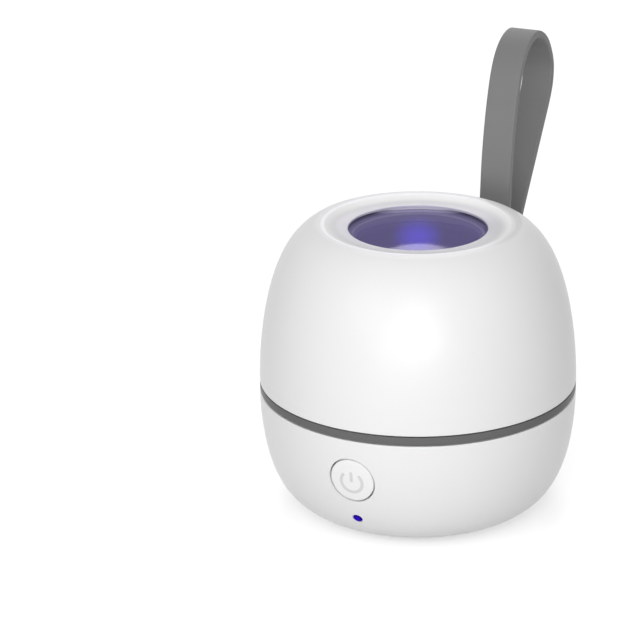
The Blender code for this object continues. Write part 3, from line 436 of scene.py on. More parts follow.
lid = {
    "crest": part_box("lid_shell")[1].z - seam,
    "fullShare": 1.058,
    "powers": (5.458, 1.823),
    "wall": 0.0024,
    "shoulder": 0.025,
    "crestRadius": 0.0222,
    "dishRadius": 0.0207,
    "dishTurn": 0.00035,
    "dishSlope": 30,
    "dishFall": 0.0002,
    "dishDepth": 0.001,
    "opening": 0.0152,
    "lip": 0.0005,
    "seatRadius": 0.0173,
    "edge": 0.00035,
    "fineEdge": 0.00015,
    # painted shade: the dish greyer than the rest of the lid
    "dishPaintedShade": (0.61, 0.605, 0.617),
    # painted highlight: a brighter line round the dish's edge
    "edgePaintedHighlight": (0.96, 0.96, 0.96),
    # painted violet shade on the lip of the opening, as by the lamp's light
    "lipPaintedVioletShade": (0.5, 0.48, 0.6),
}
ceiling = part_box("window_ring")[0].z - seam


def domeCurve(inset, low, high, steps):
    radius = case["radius"] - inset
    height = lid["crest"] * lid["fullShare"] - inset
    start = asin((low / height) ** (lid["powers"][1] / 2))
    end = asin((high / height) ** (lid["powers"][1] / 2))
    return superellipse(radius, height, lid["powers"], start, end, steps)


def domeOutline():
    full = lid["crest"] * lid["fullShare"]
    end = acos((lid["shoulder"] / case["radius"]) ** (lid["powers"][0] / 2))
    curve = superellipse(case["radius"], full, lid["powers"], 0.004, end, 56)
    shoulder = curve[-1]
    slope = steepness(shoulder, case["radius"], full, lid["powers"])
    corner = (shoulder[0] - (lid["crest"] - shoulder[1]) / slope, lid["crest"])
    curve += bend(shoulder, corner, (lid["crestRadius"], lid["crest"]), 12)
    # a tight turn at the dish's edge, then the slope down to the flat round the opening
    level = lid["crest"] - lid["dishDepth"]
    fall = lid["dishFall"]
    slope = tan(radians(lid["dishSlope"]))
    first = (lid["dishRadius"], lid["crest"])
    corner = (lid["dishRadius"] - lid["dishTurn"], lid["crest"])
    last = (corner[0] - fall / slope, lid["crest"] - fall)
    curve += [first] + bend(first, corner, last, 8)
    turn = last[0] - (last[1] - level) / slope
    curve += bend(last, (turn, level), (lid["opening"] + lid["edge"], level), 12)
    return curve


def atSeam(points):
    return [(point[0], point[1] + seam) for point in points]


hingeArms = {
    "knuckle": hinge.y - case["radius"] - case["gap"],
    "strapHalf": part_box("carry_strap")[1].x,
    "spacing": 0.0004,
    "width": 0.0025,
    "lidRise": 0.0045,
    "baseDrop": 0.009,
    "pinHole": 0.001,
    "edge": 0.0002,
}


def armPair(name, outline, order):
    # two arms drawn as (back, up) from the pin, one on each side of the strap
    nearEdge = hingeArms["strapHalf"] + hingeArms["spacing"] + order * (hingeArms["width"] + hingeArms["spacing"])
    across = Matrix.Translation(hinge) @ Matrix.Rotation(pi / 2, 4, "Z") @ Matrix.Rotation(pi / 2, 4, "X")
    arms = []
    for side in (-1, 1):
        middle = side * (nearEdge + hingeArms["width"] / 2)
        half = hingeArms["width"] / 2
        arm = extruded(name, [outline, circle(hingeArms["pinHole"], 32)], middle - half, middle + half)
        arms.append(soften(moved(arm, across), hingeArms["edge"]))
    return arms


def armRoot(wall):
    return case["radius"] - wall / 2 - hinge.y - 0.0008


def lidMaterial():
    # the lid's white, with painted shade making the dish a little greyer, a painted highlight line round the dish's
    # edge, and painted violet shade at the lip of the opening
    material = surface("domeWhite", looks["lidWhite"])
    tree = material.node_tree
    shader = tree.nodes["Principled BSDF"]
    white = shader.inputs["Base Color"].links[0].from_socket
    middle = (0, 0, seam + lid["crest"] - lid["dishDepth"])
    line = spotMix(tree, middle, lid["dishRadius"] + 0.0003, lid["dishRadius"] + 0.0007, lid["edgePaintedHighlight"], white)
    dish = spotMix(tree, middle, lid["dishRadius"] - 0.0035, lid["dishRadius"] - 0.0004, lid["dishPaintedShade"], line)
    lip = spotMix(tree, middle, lid["opening"], lid["opening"] + 0.0003, lid["lipPaintedVioletShade"], dish)
    tree.links.new(lip, shader.inputs["Base Color"])
    return material


def makeLidShell():
    edge, fine = lid["edge"], lid["fineEdge"]
    level = lid["crest"] - lid["dishDepth"]
    outline = domeOutline()
    seat = [
        (lid["opening"], level, edge),
        (lid["opening"], level - lid["lip"], fine),
        (lid["seatRadius"], level - lid["lip"]),
        (lid["seatRadius"], ceiling, fine),
    ]
    inside = domeCurve(lid["wall"], 0.0005, ceiling, 32)[::-1]
    rim = [(case["radius"] - lid["wall"], 0, edge), (case["radius"], 0, edge)]
    profile = rounded(rim + outline + seat + inside, 5)
    shell = turned("lidShell", atSeam(profile), finishes["lidWhite"])
    root = armRoot(lid["wall"])
    leaf = [(root, case["fineGap"])] + arc(hingeArms["knuckle"], 180, 450, 36) + [(root, hingeArms["lidRise"])]
    carve(shell, "UNION", armPair("lidArm", leaf, 0))
    return paint(shell, lidMaterial())


window = {
    "level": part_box("lid_window")[1].z,
    "radius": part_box("lid_window")[1].x,
    "flange": 0.00065,
    "step": 0.014,
    "edge": 0.0002,
    "rise": 0.00075,
    "bead": 0.0006,
    "groove": 0.0009,
    "grooveDepth": 0.0003,
    "tint": (0.06, 0.05, 0.14),
    # painted glow: emission on the window standing for the lamp's light below it
    "glow": (0.06, 0.035, 0.5),
    "rest": (0.03, 0.02, 0.1),
    "reach": 0.0066,
    "glowPlace": (0.0012, -0.0027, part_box("lid_window")[1].z),
    "glowTurn": 24,
    "glowStretch": 2.3,
    # painted light and shade: bright and dark lines on the step, standing for the lit bead and shaded groove below
    "lineSpan": 0.003,
    "lines": (
        (0.00065, (0.17, 0.16, 0.2)), (0.001, (0.17, 0.16, 0.2)),
        (0.00112, (0.0, 0.0, 0.02)), (0.0014, (0.0, 0.0, 0.02)),
        (0.0015, (0.07, 0.065, 0.12)), (0.0019, (0.07, 0.065, 0.12)),
        (0.0021, (0.0, 0.0, 0.08)), (0.0025, (0.01, 0.01, 0.09)),
    ),
    "lineDepth": (0.0003, 0.0005),
    # painted shade on the rear rim, with a painted highlight along its outer edge
    "rimBand": (0.0141, 0.0145),
    "rimTurn": (-0.003, 0.009),
    "rimPaintedShade": (0.01, 0.008, 0.01),
    "shineTurn": (0.0134, 0.0149),
    "shineBand": (0.0147, 0.0149),
    "rimSide": (-0.41, 0.91, 0),
    "rimShine": (0.42, 0.4, 0.48),
    "strength": 1.0,
    "alpha": 0.6,
    # painted lamp light on the ring: glow on the bead and rim, dark in the groove
    "beadGlow": (0.1, 0.09, 0.14),
    "grooveGlow": (0.0, 0.0, 0.01),
    "rimGlow": (0.13, 0.12, 0.15),
}


def outFromAxis(tree, coords):
    flat = addNode(tree, "ShaderNodeVectorMath", {0: coords, 1: (1, 1, 0)}, operation="MULTIPLY").outputs[0]
    return addNode(tree, "ShaderNodeVectorMath", {0: flat}, operation="LENGTH").outputs["Value"]


def windowMaterial():
    # tinted clear plastic with painted light: a long painted glow where the lamp shines under it,
    # painted shade and a pale painted highlight on the rear rim, and two painted lines of light and shade round the
    # step
    look = {"colour": window["tint"], "shade": window["tint"], "roughness": (0.01, 0.02), "relief": 0.0}
    material = surface("windowViolet", look)
    tree = material.node_tree
    shader = tree.nodes["Principled BSDF"]
    coords = addNode(tree, "ShaderNodeTexCoord").outputs["Object"]
    streak = addNode(
        tree, "ShaderNodeMapping",
        {
            "Vector": coords, "Location": window["glowPlace"],
            "Rotation": (0, 0, radians(window["glowTurn"])), "Scale": (1, window["glowStretch"], 1),
        },
        vector_type="TEXTURE",
    )
    off = addNode(tree, "ShaderNodeVectorMath", {0: streak.outputs[0]}, operation="LENGTH").outputs["Value"]
    glow = colourMix(tree, between(tree, off, 0.0005, window["reach"]), window["glow"], window["rest"])

    axes = addNode(tree, "ShaderNodeSeparateXYZ", {0: coords}).outputs
    out = outFromAxis(tree, coords)
    depth = mathNode(tree, "SUBTRACT", window["level"], axes["Z"])
    run = mathNode(tree, "ADD", depth, mathNode(tree, "SUBTRACT", window["step"], out))
    below = between(tree, depth, *window["lineDepth"])
    inside = mathNode(tree, "MULTIPLY", below, between(tree, run, window["lineSpan"], window["lines"][-1][0]))
    lined = colourMix(tree, inside, glow, rampOf(tree, run, window["lineSpan"], window["lines"]))

    sided = addNode(tree, "ShaderNodeVectorMath", {0: coords, 1: window["rimSide"]}, operation="DOT_PRODUCT")
    rearward = sided.outputs["Value"]
    rimBand = between(tree, out, *window["rimBand"])
    rearRim = mathNode(tree, "MULTIPLY", rimBand, between(tree, rearward, *window["rimTurn"]))
    shineBand = between(tree, out, *window["shineBand"])
    edgeShine = mathNode(tree, "MULTIPLY", shineBand, between(tree, rearward, *window["shineTurn"]))
    shine = colourMix(tree, edgeShine, window["rimPaintedShade"], window["rimShine"])
    tree.links.new(colourMix(tree, rearRim, lined, shine), shader.inputs["Emission Color"])
    shader.inputs["Emission Strength"].default_value = window["strength"]
    shader.inputs["Alpha"].default_value = window["alpha"]
    shader.inputs["IOR"].default_value = 1.5
    shader.inputs["Specular IOR Level"].default_value = 0.06
    return material


def ringMaterial():
    # the lamp's light painted on the ring as glow: a bright bead, a dark groove in painted shade and a middling rim
    material = surface("ringLilac", looks["ringGrey"])
    tree = material.node_tree
    shader = tree.nodes["Principled BSDF"]
    inner = window["step"] + case["fineGap"]
    bead = inner + window["bead"]
    groove = bead + window["groove"]
    out = outFromAxis(tree, addNode(tree, "ShaderNodeTexCoord").outputs["Object"])
    stops = ((inner, window["beadGlow"]), (bead, window["beadGlow"]), (bead + 0.0001, window["grooveGlow"]))
    stops += ((groove - 0.0001, window["grooveGlow"]), (groove, window["rimGlow"]))
    tree.links.new(rampOf(tree, out, window["radius"], stops), shader.inputs["Emission Color"])
    shader.inputs["Emission Strength"].default_value = 1.0
    return material


def discOf(node, name, material, edge, steps=None):
    low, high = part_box(node)
    profile = rounded([(0, low.z), (high.x, low.z, edge), (high.x, high.z, edge), (0, high.z)])
    return turned(name, profile, material, steps)


def makeWindow():
    low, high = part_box("lid_window")
    edge, outer, step = window["edge"], window["radius"], window["step"]
    flange = high.z - window["flange"]
    profile = rounded([
        (0, low.z), (step - 2 * edge, low.z), (step, low.z, edge), (step, flange),
        (outer, flange, edge / 2), (outer, high.z, edge), (outer - 2 * edge, high.z), (0, high.z),
    ])
    plate = turned("lidWindow", profile, windowMaterial())
    low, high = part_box("window_ring")
    inner = step + case["fineGap"]
    top = high.z + window["rise"]
    bead = inner + window["bead"]
    groove = bead + window["groove"]
    profile = rounded([
        (inner, low.z, edge), (high.x, low.z, edge), (high.x, top, edge / 2), (groove, top, edge / 2),
        (groove, top - window["grooveDepth"]), (bead, top - window["grooveDepth"]),
        (bead, top, edge / 2), (inner, top, edge),
    ])
    return plate, turned("windowRing", profile, ringMaterial())


def makeLiner():
    low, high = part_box("lid_liner")
    start, top = low.z - seam, high.z - seam
    inset, thickness, hole = lid["wall"] + case["gap"], 0.001, 0.0139
    face = domeCurve(inset, start, top, 40)
    back = domeCurve(inset + thickness, start, top - thickness, 40)
    profile = face + [(hole, top), (hole - 0.0001, top - thickness / 2), (hole, top - thickness)] + back[::-1]
    return turned("lidLiner", atSeam(profile), finishes["linerSilver"])


# Base: bowl, band, chamber and lamp

bowl = {
    "powers": (6.6, 2.041),
    "wall": 0.0022,
    "floor": 0.0022,
    "edge": 0.0003,
    "padGap": 0.0003,
}


def bowlRadius(height):
    hang = (case["bowlTop"] - height) / case["bowlTop"]
    return case["radius"] * (1 - hang ** bowl["powers"][1]) ** (1 / bowl["powers"][0])


def bowlCurve(radius, depth, low, steps):
    end = asin(((case["bowlTop"] - low) / depth) ** (bowl["powers"][1] / 2))
    curve = superellipse(radius, depth, bowl["powers"], 0.004, end, steps)
    return [(point[0], case["bowlTop"] - point[1]) for point in curve]


def onBowl(centre, right, up, out, across, along, lift=0.0):
    # the point above (across, along) on the bowl's face, found by halving
    base = centre + right * across + up * along
    low, high = -0.003, 0.003
    for _ in range(40):
        middle = (low + high) / 2
        spot = base + out * middle
        if hypot(spot.x, spot.y) > bowlRadius(spot.z):
            high = middle
        else:
            low = middle
    return base + out * (low + lift)


def faceAt(height):
    # centre, right, up and outward direction of the bowl's front at a height
    hang = case["bowlTop"] - height
    radius = bowlRadius(height)
    dip = atan2(1, steepness((radius, hang), case["radius"], case["bowlTop"], bowl["powers"]))
    out = Vector((0, -cos(dip), -sin(dip)))
    return Vector((0, -radius, height)), Vector((1, 0, 0)), Vector((0, -sin(dip), cos(dip))), out


buttonFace = faceAt(case["bowlTop"] * 0.6524)
lightFace = faceAt(case["bowlTop"] * 0.2838)
button = {"radius": 0.00495, "hole": 0.0053, "edge": 0.00018, "flange": 0.0061, "rings": 20, "steps": 96}
light = {"radius": 0.001, "hole": 0.0012, "bulge": 0.0001, "depth": 0.0032, "halo": 0.0017}
port = {
    "width": 0.0097, "height": 0.0039, "wall": 0.0003, "tongueHalf": 0.00335, "tongueThick": 0.00035,
    "tongueReach": 0.0036, "contact": (0.00013, 0.0011, 0.00004), "contactStep": 0.0005,
}


def facePlug(name, face, radius, inner, outer, steps=64):
    # a round rod along a face's outward direction, used to cut its hole
    centre, right, up, out = face
    turn = Matrix((right, up, out)).transposed().to_4x4()
    rod = extruded(name, [circle(radius, steps)], inner, outer)
    return moved(rod, Matrix.Translation(centre) @ turn)


def stadium(width, height, steps=16):
    radius = height / 2
    straight = width / 2 - radius
    return arc(radius, -90, 90, steps, (straight, 0)) + arc(radius, 90, 270, steps, (-straight, 0))


def makeBaseShell():
    edge = bowl["edge"]
    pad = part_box("foot_pad")[1]
    depth = case["bowlTop"]
    outer = bowlCurve(case["radius"], depth, case["bowlFoot"], 64)
    inner = bowlCurve(case["radius"] - bowl["wall"], depth - bowl["wall"], case["bowlFoot"] + bowl["floor"], 24)
    recess = pad.x + bowl["padGap"]
    top = pad.z + bowl["padGap"]
    foot = [(recess, case["bowlFoot"], edge), (recess, top, edge), (0, top), (0, case["bowlFoot"] + bowl["floor"])]
    rim = [(case["radius"] - bowl["wall"], depth, edge), (case["radius"], depth, edge)]
    profile = rounded(rim + outer[1:-1] + [(*outer[-1], edge)] + foot + inner[:0:-1], 5)
    shell = turned("baseShell", profile, finishes["lidWhite"])

    root = armRoot(bowl["wall"])
    stepHeight = case["bowlTop"] - seam - case["gap"]
    stepOut = case["radius"] + case["gap"] - hinge.y
    leaf = [(root, -hingeArms["baseDrop"]), (root, stepHeight), (stepOut, stepHeight)]
    leaf += arc(hingeArms["knuckle"], 180, -40, 36)
    carve(shell, "UNION", armPair("baseArm", leaf, 1))

    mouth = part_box("charging_socket")
    slot = extruded("portSlot", [stadium(port["width"], port["height"])], -case["radius"], -mouth[0].y)
    middle = (mouth[0].z + mouth[1].z) / 2
    moved(slot, Matrix.Translation((0, 0, middle)) @ Matrix.Rotation(pi / 2, 4, "X"))
    holes = [
        facePlug("buttonHole", buttonFace, button["hole"], -0.0045, 0.002, 96),
        facePlug("lightHole", lightFace, light["hole"], -0.0045, 0.002),
        slot,
    ]
    carve(shell, "DIFFERENCE", holes)
    return paint(shell, baseMaterial())


def baseMaterial():
    # the bowl's white, with a faint violet halo painted round the indicator, standing for its light shining into the
    # plastic
    material = surface("bowlWhite", looks["lidWhite"])
    tree = material.node_tree
    shader = tree.nodes["Principled BSDF"]
    white = shader.inputs["Base Color"].links[0].from_socket
    halo = spotMix(tree, lightFace[0], light["radius"], light["halo"], (0.93, 0.87, 1.0), white)
    tree.links.new(halo, shader.inputs["Base Color"])
    return material


def makeCollar():
    low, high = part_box("collar_ring")
    gap = case["gap"]
    bandTop, bandBottom, lipTop = seam - gap, case["bowlTop"] + gap, high.z
    lip = case["radius"] - lid["wall"] - gap
    groove, mouth, spigot = lip + 0.0005, lip - 0.0021, case["radius"] - bowl["wall"] - gap
    profile = rounded([
        (case["radius"], bandBottom, 0.00025), (case["radius"], bandTop, 0.00025),
        (groove, bandTop, 0.00015), (groove, bandTop - 0.0005), (lip, bandTop - 0.0005),
        (lip, lipTop, 0.0009), (mouth + 0.0003, lipTop, 0.0009), (mouth, bandTop), (mouth, bandBottom, 0.0002),
        (spigot - 0.0012, bandBottom), (spigot - 0.0012, low.z, 0.0002), (spigot, low.z, 0.0002), (spigot, bandBottom),
    ], 7)
    return turned("collarRing", profile, finishes["collarGrey"])


chamber = {
    "wall": 0.001, "floor": 0.0012, "flat": 0.014, "power": 1.25,
    "well": 0.0095, "wellWall": 0.0035, "lensGap": 0.0003,
}


def dishCurve(wall, floor):
    low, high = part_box("chamber_bowl")
    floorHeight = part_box("lamp_lens")[1].z
    reach = high.x - chamber["wall"] + wall - chamber["flat"]
    depth = high.z - floorHeight + floor
    powers = (chamber["power"], chamber["power"])
    side = superellipse(reach, depth, powers, 0, pi / 2, 40)
    return [(chamber["flat"] + point[0], high.z - point[1]) for point in side]


def makeChamber():
    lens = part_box("lamp_lens")
    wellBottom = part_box("lamp_board")[0].z
    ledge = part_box("lens_seal")[0].z - case["fineGap"]
    floorHeight = lens[1].z
    outside = chamber["well"] + chamber["wellWall"]
    lensHole = lens[1].x + chamber["lensGap"]
    inner = dishCurve(0, 0)[:-1]
    outer = dishCurve(chamber["wall"], chamber["floor"])[:-1]
    profile = rounded(
        [(*inner[0], 0.0002)] + inner[1:]
        + [(lensHole, floorHeight, 0.0002), (lensHole, ledge), (chamber["well"], ledge, 0.0002)]
        + [(chamber["well"], wellBottom), (outside, wellBottom, 0.0002), (outside, floorHeight - chamber["floor"])]
        + outer[::-1]
    )
    return turned("chamberBowl", profile, finishes["chamberViolet"])


def glassMaterial():
    look = {"colour": (0.8, 0.78, 0.92), "shade": (0.78, 0.76, 0.9), "roughness": (0.02, 0.05), "relief": 0.0}
    material = surface("lensClear", look)
    shader = material.node_tree.nodes["Principled BSDF"]
    shader.inputs["Alpha"].default_value = 0.3
    shader.inputs["IOR"].default_value = 1.5
    shader.inputs["Coat Weight"].default_value = 0.5
    shader.inputs["Coat Roughness"].default_value = 0.02
    return material


def ledMaterial():
    material = surface("ledGlow", {"colour": (0.5, 0.42, 0.75), "shade": (0.42, 0.35, 0.7), "roughness": (0.05, 0.1)})
    shader = material.node_tree.nodes["Principled BSDF"]
    shader.inputs["Emission Color"].default_value = (0.3, 0.16, 1.0, 1)
    shader.inputs["Emission Strength"].default_value = 1.2
    return material


def makeLamp():
    low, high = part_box("lamp_lens")
    profile = rounded([(0, low.z), (high.x, low.z, 0.0002), (high.x, high.z, 0.00025), (0, high.z)])
    lens = turned("lampLens", profile, glassMaterial(), 96)
    board = discOf("lamp_board", "lampBoard", finishes["boardWhite"], 0.0001, 72)
    places = []
    for order in range(1, 5):
        low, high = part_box(f"uv_led_{order}")
        places.append(((low.x + high.x) / 2, (low.y + high.y) / 2, low.z))
    size = high.x - low.x
    tall = high.z - low.z
    base = [(-size / 2, -size / 2), (size / 2, -size / 2), (size / 2, size / 2), (-size / 2, size / 2)]
    package = soften(extruded("package", [base, circle(size * 0.38, 32)], 0, tall * 0.45), 0.0001)
    bodies = scattered("ledPackages", places, package, finishes["ceramic"])
    domeRadius = size * 0.36
    angles = [radians(10 * k) for k in range(9)]
    domeProfile = [(0, 0)] + [(domeRadius * cos(a), tall * 0.1 + tall * 0.85 * sin(a)) for a in angles]
    domeProfile += [(0, tall * 0.95)]
    dome = turned("ledDome", domeProfile, ledMaterial(), 32)
    domes = scattered("ledDomes", places, dome, ledMaterial())
    return lens, board, bodies, domes


def stacked(name, bm, top, rings, bottom):
    # joins rings of points between a first and a last point into one closed piece
    steps = len(rings[0])
    for step in range(steps):
        after = (step + 1) % steps
        bm.faces.new((top, rings[0][step], rings[0][after]))
        for inner, outer in zip(rings, rings[1:]):
            bm.faces.new((inner[step], outer[step], outer[after], inner[after]))
        bm.faces.new((rings[-1][step], bottom, rings[-1][after]))
    return link(name, tidyMesh(meshFrom(name, bm)))


def makeButton():
    centre, right, up, out = buttonFace
    edge = button["edge"]
    sag = button["flange"] ** 2 / (2 * (case["radius"] - bowl["wall"]))
    flangeTop = -(bowl["wall"] + sag + case["gap"])
    flangeBottom = flangeTop - 0.0007
    stem = (0.0015, flangeBottom - 0.0006)
    bm = bmesh.new()

    def ring(radius, height=None, lift=0.0):
        verts = []
        for step in range(button["steps"]):
            angle = 2 * pi * step / button["steps"]
            x, y = radius * cos(angle), radius * sin(angle)
            if height is None:
                verts.append(bm.verts.new(onBowl(centre, right, up, out, x, y, lift)))
            else:
                verts.append(bm.verts.new(centre + right * x + up * y + out * height))
        return verts

    top = bm.verts.new(onBowl(centre, right, up, out, 0, 0))
    rings = [ring((button["radius"] - edge) * order / button["rings"]) for order in range(1, button["rings"] + 1)]
    for step in range(1, 6):
        angle = step / 5 * pi / 2
        rings.append(ring(button["radius"] - edge + edge * sin(angle), None, -edge * (1 - cos(angle))))
    rings.append(ring(button["radius"], flangeTop))
    rings.append(ring(button["flange"], flangeTop))
    rings.append(ring(button["flange"], flangeBottom))
    rings.append(ring(stem[0], flangeBottom))
    rings.append(ring(*stem))
    bottom = bm.verts.new(centre + out * stem[1])
    return paint(stacked("powerButton", bm, top, rings, bottom), finishes["buttonWhite"])


mark = {
    "radius": 0.00245, "drop": 0.0003, "gapAngle": 41, "stroke": 0.0007,
    "barTop": 0.0022, "barLow": -0.0003, "lift": 0.00001, "depth": 0.00006,
}


def strokeMesh(name, route, face):
    # a flat stroke with round ends, laid on the bowl's face
    centre, right, up, out = face
    half = mark["stroke"] / 2
    length = sum((Vector(b) - Vector(a)).length for a, b in zip(route, route[1:]))
    bm = bmesh.new()
    sections = []
    run = 0.0
    for order, point in enumerate(route):
        here = Vector(point)
        ahead = Vector(route[min(order + 1, len(route) - 1)])
        behind = Vector(route[max(order - 1, 0)])
        if order:
            run += (here - behind).length if order == len(route) - 1 else (here - Vector(route[order - 1])).length
        toEnd = min(run, length - run)
        width = half if toEnd >= half else sqrt(max(half**2 - (half - toEnd) ** 2, 0)) + 1e-6
        side = Vector((-(ahead - behind).y, (ahead - behind).x)).normalized()
        section = []
        for share in (-1, -0.5, 0, 0.5, 1):
            spot = here + side * width * share
            section.append(bm.verts.new(onBowl(centre, right, up, out, spot.x, spot.y, mark["lift"])))
        for share in (1, 0.5, 0, -0.5, -1):
            spot = here + side * width * share
            section.append(bm.verts.new(onBowl(centre, right, up, out, spot.x, spot.y, -mark["depth"])))
        sections.append(section)
    count = len(sections[0])
    for first, last in zip(sections, sections[1:]):
        for k in range(count):
            bm.faces.new((first[k], first[(k + 1) % count], last[(k + 1) % count], last[k]))
    bm.faces.new(sections[0])
    bm.faces.new(sections[-1][::-1])
    return paint(link(name, tidyMesh(meshFrom(name, bm))), finishes["markGrey"])


def fineEnds(route, half, steps=6):
    # extra points near both ends, so that the stroke's round ends are smooth
    def shorter(first, last):
        span = Vector(last) - Vector(first)
        reach = min(half, span.length)
        shares = [1 - cos(step / steps * pi / 2) for step in range(steps)]
        return [tuple(Vector(first) + span.normalized() * reach * share) for share in shares]

    return shorter(route[0], route[1]) + route[1:-1] + shorter(route[-1], route[-2])[::-1]


def makeMark():
    half = mark["stroke"] / 2
    ring = [(x, y - mark["drop"]) for x, y in arc(mark["radius"], 90 + mark["gapAngle"], 450 - mark["gapAngle"], 22)]
    bar = [(0, mark["barTop"] - (mark["barTop"] - mark["barLow"]) * step / 5) for step in range(6)]
    routes = (("powerArc", ring), ("powerBar", bar))
    return [strokeMesh(name, fineEnds(route, half), buttonFace) for name, route in routes]


def makeIndicator():
    centre, right, up, out = lightFace
    bm = bmesh.new()
    steps, rows = 40, 8
    top = bm.verts.new(onBowl(centre, right, up, out, 0, 0, light["bulge"]))
    rings = []
    for row in range(1, rows + 1):
        angle = row / rows * pi / 2
        radius, lift = light["radius"] * sin(angle), light["bulge"] * cos(angle) - 0.00006 * (1 - cos(angle))
        ring = []
        for step in range(steps):
            a = 2 * pi * step / steps
            ring.append(bm.verts.new(onBowl(centre, right, up, out, radius * cos(a), radius * sin(a), lift)))
        rings.append(ring)
    foot = centre - out * light["depth"]
    back = []
    for step in range(steps):
        a = 2 * pi * step / steps
        back.append(bm.verts.new(foot + right * light["radius"] * cos(a) + up * light["radius"] * sin(a)))
    rings.append(back)
    bottom = bm.verts.new(foot)
    look = {"colour": (0.006, 0.002, 0.15), "shade": (0.005, 0.001, 0.12), "roughness": (0.28, 0.32)}
    material = surface("indicatorBlue", look)
    tree = material.node_tree
    shader = tree.nodes["Principled BSDF"]
    shader.inputs["Specular IOR Level"].default_value = 0.0
    glow = spotMix(tree, centre, 0.0003, light["radius"], (0.03, 0.006, 0.47), (0.008, 0.003, 0.12))
    tree.links.new(glow, shader.inputs["Emission Color"])
    shader.inputs["Emission Strength"].default_value = 0.8
    return paint(stacked("indicatorLens", bm, top, rings, bottom), material)


def makeSocket():
    low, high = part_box("charging_socket")
    width, height = high.x - low.x, high.z - low.z
    wall, back = port["wall"], 0.0011
    middle = (low.z + high.z) / 2
    facing = Matrix.Translation((0, 0, middle)) @ Matrix.Rotation(pi / 2, 4, "X")
    rims = [stadium(width, height), stadium(width - 2 * wall, height - 2 * wall)]
    tube = extruded("socketShell", rims, -high.y, -low.y - back)
    plug = extruded("socketBack", [stadium(width, height)], -low.y - back - 0.0001, -low.y)
    shell = carve(tube, "UNION", [plug])
    soften(moved(shell, facing), 0.0001, 2)
    paint(shell, finishes["socketSteel"])
    half, thick = port["tongueHalf"], port["tongueThick"]
    corners = [(-half, -thick), (half, -thick), (half, thick), (-half, thick)]
    tongue = extruded("socketTongue", [corners], -(low.y + back + port["tongueReach"]), -(low.y + back - 0.0002))
    soften(moved(tongue, facing), 0.00015, 2)
    paint(tongue, finishes["tongueBlack"])
    wide, long, tall = port["contact"]
    pad = extruded("pad", [[(-wide, -long), (wide, -long), (wide, long), (-wide, long)]], 0, tall)
    places = []
    for order in range(12):
        x = (order - 5.5) * port["contactStep"]
        for side in (-1, 1):
            places.append((x, low.y + back + 0.0022, middle + side * thick - (tall if side < 0 else 0)))
    contacts = scattered("socketContacts", places, pad, finishes["contactGold"])
    return shell, tongue, contacts


def makeFootPad():
    low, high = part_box("foot_pad")
    rise = 0.00015  # only a ring near the pad's edge touches the table
    inner, outer = high.x - 0.0032, high.x - 0.0012
    profile = rounded([
        (0, rise), (inner - 0.0003, rise), (inner, low.z, 0.0001), (outer, low.z, 0.0001),
        (outer + 0.0003, rise), (high.x, rise * 2, 0.0003), (high.x, high.z, 0.0002), (0, high.z),
    ])
    return turned("footPad", profile, finishes["padRubber"])


def makePin():
    low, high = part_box("hinge_pin")
    radius = (high.z - low.z) / 2
    profile = rounded([(0, low.x), (radius, low.x, 0.0003), (radius, high.x, 0.0003), (0, high.x)])
    pin = turned("hingePin", profile, finishes["pinSteel"], 48)
    return moved(pin, Matrix.Translation(hinge) @ Matrix.Rotation(pi / 2, 4, "Y"))


# Strap: the band's middle line from the eye, up the front run, over the top and down the rear run

strap = {
    "reach": 0.0325,
    "height": 0.06375,
    "thickness": 0.0017,
    "eye": hingeArms["knuckle"],
    "splitShare": 0.19,
    "edge": 0.0004,
    "spanSteps": 9,
    "routeShares": (
        (0.08, 0.087), (0.132, 0.166), (0.192, 0.372), (0.237, 0.595), (0.312, 0.776), (0.405, 0.905),
        (0.528, 0.975), (0.7, 1.0), (0.868, 0.962), (0.973, 0.888), (1.0, 0.823), (0.955, 0.744),
        (0.772, 0.603), (0.441, 0.355), (0.262, 0.204), (0.151, 0.104),
    ),
}


def smoothRoute(points, steps):
    route = []
    ends = [points[0]] + list(points) + [points[-1]]
    for a, b, c, d in zip(ends, ends[1:], ends[2:], ends[3:]):
        a, b, c, d = (Vector(point) for point in (a, b, c, d))
        for step in range(steps):
            t = step / steps
            spot = b + ((c - a) * t + (2 * a - 5 * b + 4 * c - d) * t**2 + (d - a + 3 * (b - c)) * t**3) / 2
            route.append(tuple(spot))
    return route + [tuple(points[-1])]


def beside(route, distance):
    made = []
    for order, (back, up) in enumerate(route):
        ahead = route[min(order + 1, len(route) - 1)]
        behind = route[max(order - 1, 0)]
        run = Vector(ahead) - Vector(behind)
        run.normalize()
        made.append((back - run.y * distance, up + run.x * distance))
    return made


def makeStrap():
    points = [(back * strap["reach"], up * strap["height"]) for back, up in strap["routeShares"]]
    route = smoothRoute(points, strap["spanSteps"])
    outside = beside(route, strap["thickness"] / 2)
    inside = beside(route, -strap["thickness"] / 2)
    loop = [point for point in inside if point[1] > strap["splitShare"] * strap["height"]]
    outline = outside + arc(strap["eye"], -25, -212, 30)
    half = hingeArms["strapHalf"]
    band = extruded("carryStrap", [outline, loop, circle(hingeArms["pinHole"], 32)], -half, half)
    across = Matrix.Translation(hinge) @ Matrix.Rotation(pi / 2, 4, "Z") @ Matrix.Rotation(pi / 2, 4, "X")
    soften(moved(band, across), strap["edge"], 3, 60)
    return paint(band, finishes["strapGrey"])


def settle(piece, body, slot, *nodes):
    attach(piece, body)
    if nodes:
        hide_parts(*nodes)


